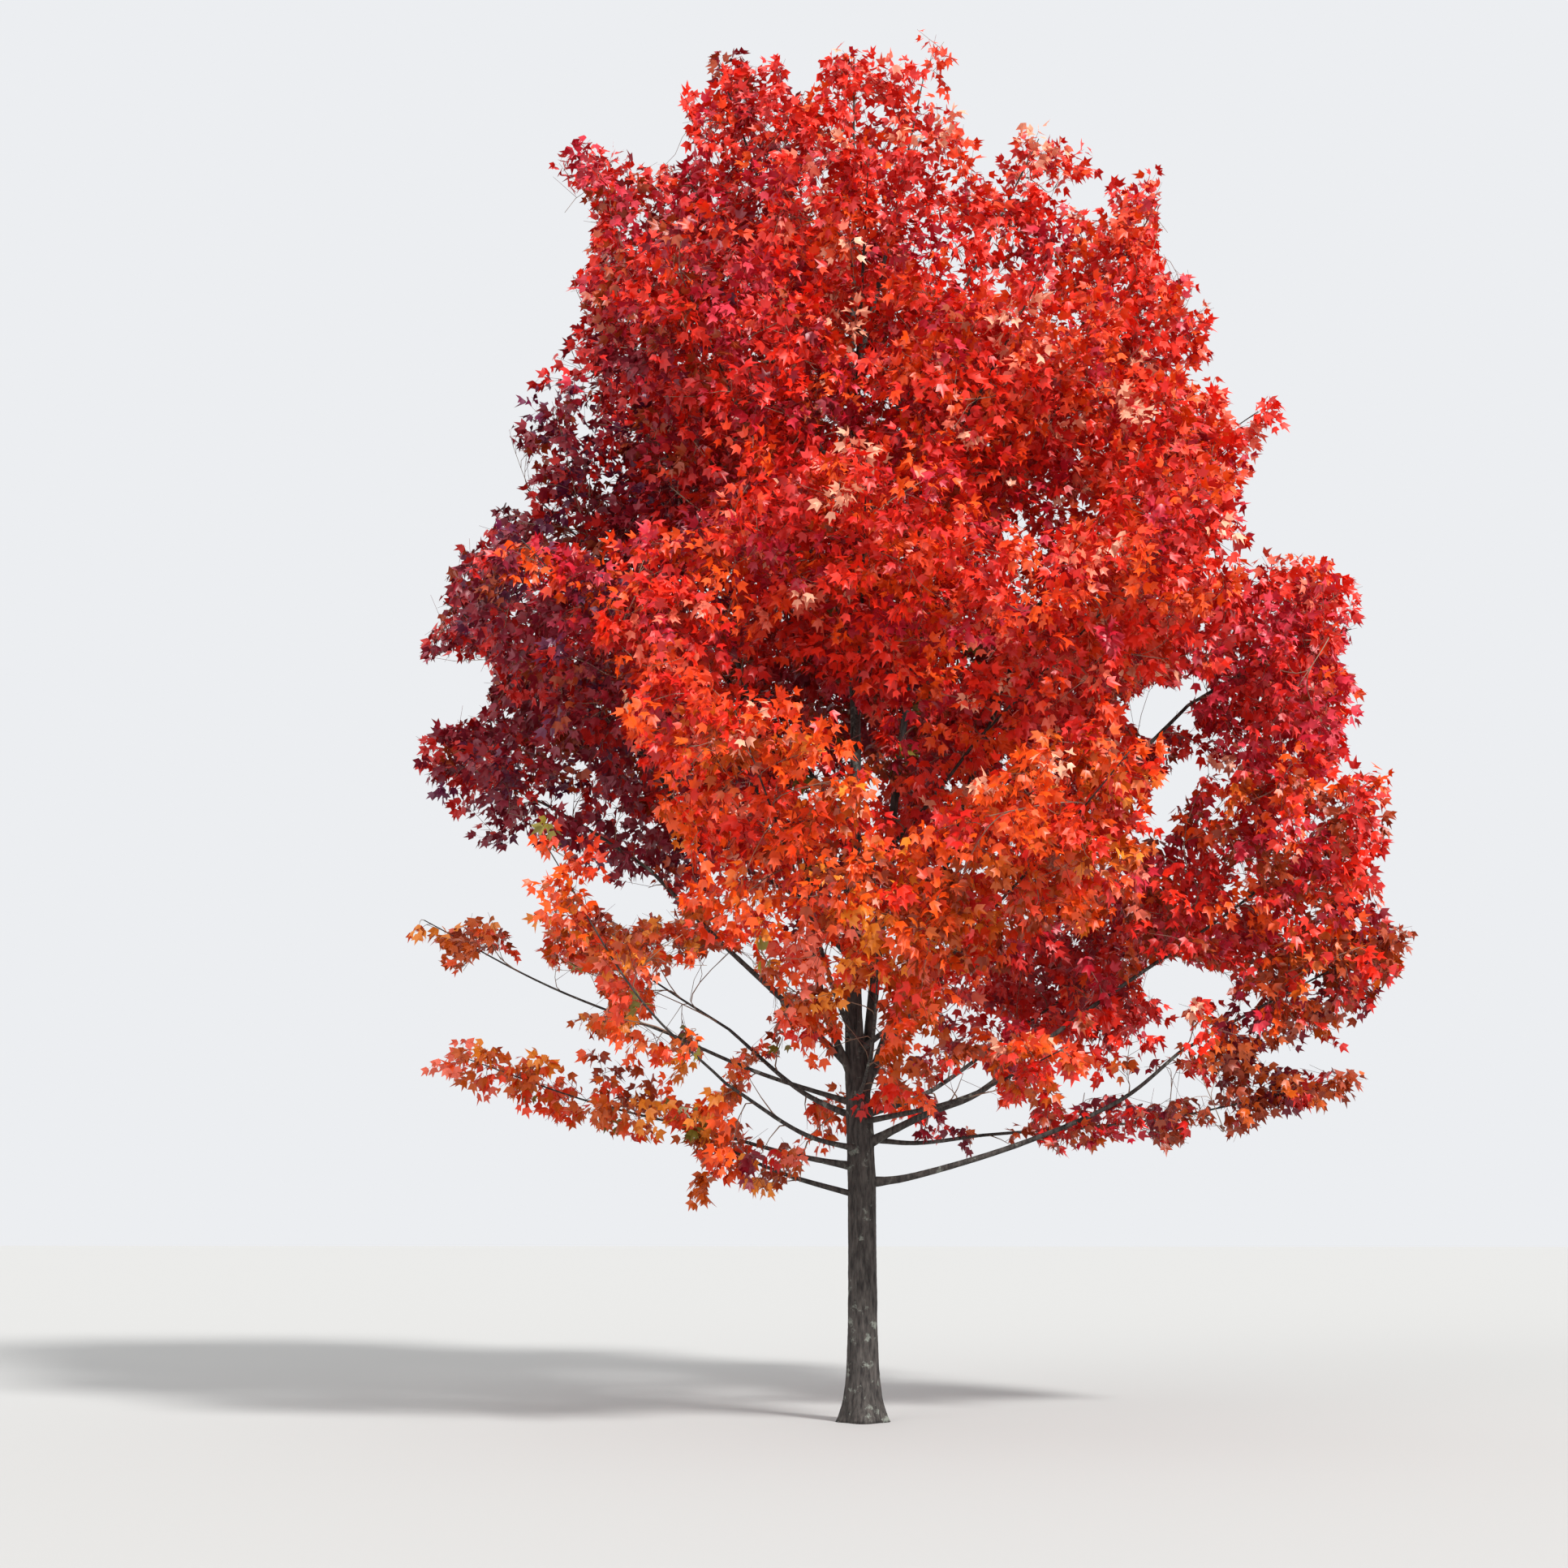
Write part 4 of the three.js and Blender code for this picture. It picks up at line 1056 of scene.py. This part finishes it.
class MAPLE_OT_leaves(bpy.types.Operator):
    """Hang three-lobed leaves on the shoots, joined by tint"""

    bl_idname = "maple.leaves"
    bl_label = "Leaves"

    def execute(self, context):
        leaves = grown_crown(context.scene.maple_foliage)[2]
        rim = np.array([(0, 0, 0), *LEAF_RIM, LEAF_TIP, *[(-x, y, z) for x, y, z in LEAF_RIM[::-1]]])
        fan = np.array([(0, corner, corner + 1) for corner in range(1, len(rim) - 1)])
        for number, (tint, (code, slot)) in enumerate(TINTS.items()):
            chosen = leaves["tint"] == number
            if not chosen.any():
                continue
            base, blade, face = (leaves[key][chosen] for key in ("base", "blade", "face"))
            size, fold = leaves["size"][chosen, None, None], leaves["fold"][chosen, None, None]
            side = np.cross(blade, face)
            shape = (
                rim[:, 0, None] * side[:, None] + rim[:, 1, None] * blade[:, None]
                + rim[:, 2, None] * fold * face[:, None]
            )
            verts = np.concatenate([
                base[:, None] + shape * size,
                leaves["foot"][chosen][:, None],
                base[:, None] + side[:, None] * STALK["width"],
            ], axis=1)
            corners = np.vstack([fan, (0, len(rim), len(rim) + 1)])
            faces = (np.arange(len(base)) * len(verts[0]))[:, None, None] + corners
            mesh = joined_mesh(f"{tint}_leaves", verts.reshape(-1, 3), faces.reshape(-1, 3))
            nodes = [SPACES[mass].name for mass in np.unique(leaves["mass"][chosen])]
            material = plain_material(f"{tint}_leaf", colour(code), *LEAF_FINISH)
            add_piece(f"{tint}_leaves", mesh, material, nodes)
        return {"FINISHED"}


class MAPLE_OT_stage(bpy.types.Operator):
    """Make the floor, the light and the camera"""

    bl_idname = "maple.stage"
    bl_label = "Stage"

    def execute(self, context):
        settings = context.scene.maple_stage
        bm = bmesh.new()
        bmesh.ops.create_grid(bm, x_segments=1, y_segments=1, size=settings.floor_width / 2)
        mesh = bpy.data.meshes.new("floor")
        bm.to_mesh(mesh)
        bm.free()
        mesh.materials.append(plain_material("pale_floor", (0.47, 0.465, 0.45), 0.9, 0.2))
        floor = new_object("floor", mesh)

        world = bpy.data.worlds.new("studio_air")
        world.use_nodes = True
        air = world.node_tree.nodes["Background"]
        air.inputs["Color"].default_value = (0.84, 0.855, 0.88, 1)
        air.inputs["Strength"].default_value = settings.air_strength
        context.scene.world = world
        context.scene.view_settings.view_transform = "Standard"

        for name, strength, softness, aim in (
            ("key_light", settings.key_strength, 9, (50, 0, 42)),
            ("fill_light", settings.fill_strength, 40, (62, 0, -38)),
        ):
            light = bpy.data.lights.new(name, "SUN")
            light.energy = strength
            light.angle = math.radians(softness)
            new_object(name, light).rotation_euler = [math.radians(angle) for angle in aim]

        lens = bpy.data.cameras.new("portrait_camera")
        lens.lens, lens.sensor_width, lens.clip_end = settings.lens, 36, 300
        camera = new_object("portrait_camera", lens)
        camera.location = EYE
        camera.rotation_euler = (math.radians(90 + EYE_RISE), 0, math.radians(EYE_TURN))
        context.scene.camera = camera
        return {"FINISHED"}


class MAPLE_PT_panel(bpy.types.Panel):
    bl_idname = "MAPLE_PT_panel"
    bl_label = "Autumn maple"
    bl_space_type = "VIEW_3D"
    bl_region_type = "UI"
    bl_category = "Maple"

    def draw(self, context):
        for operator in OPERATORS:
            self.layout.operator(operator.bl_idname)
        for settings in SETTINGS:
            group = getattr(context.scene, settings)
            box = self.layout.box()
            for key in group.bl_rna.properties.keys():
                if key not in ("rna_type", "name"):
                    box.prop(group, key)


SETTINGS = {"maple_bark": MapleBark, "maple_foliage": MapleFoliage, "maple_stage": MapleStage}
OPERATORS = (MAPLE_OT_stage, MAPLE_OT_trunk, MAPLE_OT_boughs, MAPLE_OT_twigs, MAPLE_OT_leaves)
CLASSES = (*SETTINGS.values(), *OPERATORS, MAPLE_PT_panel)


def register():
    for each in CLASSES:
        bpy.utils.register_class(each)
    for name, group in SETTINGS.items():
        setattr(bpy.types.Scene, name, PointerProperty(type=group))


def unregister():
    for name in SETTINGS:
        delattr(bpy.types.Scene, name)
    for each in reversed(CLASSES):
        bpy.utils.unregister_class(each)


def main():
    register()
    for step in ("stage", "trunk", "boughs", "twigs", "leaves"):
        getattr(bpy.ops.maple, step)()


if __name__ == "__main__":
    main()
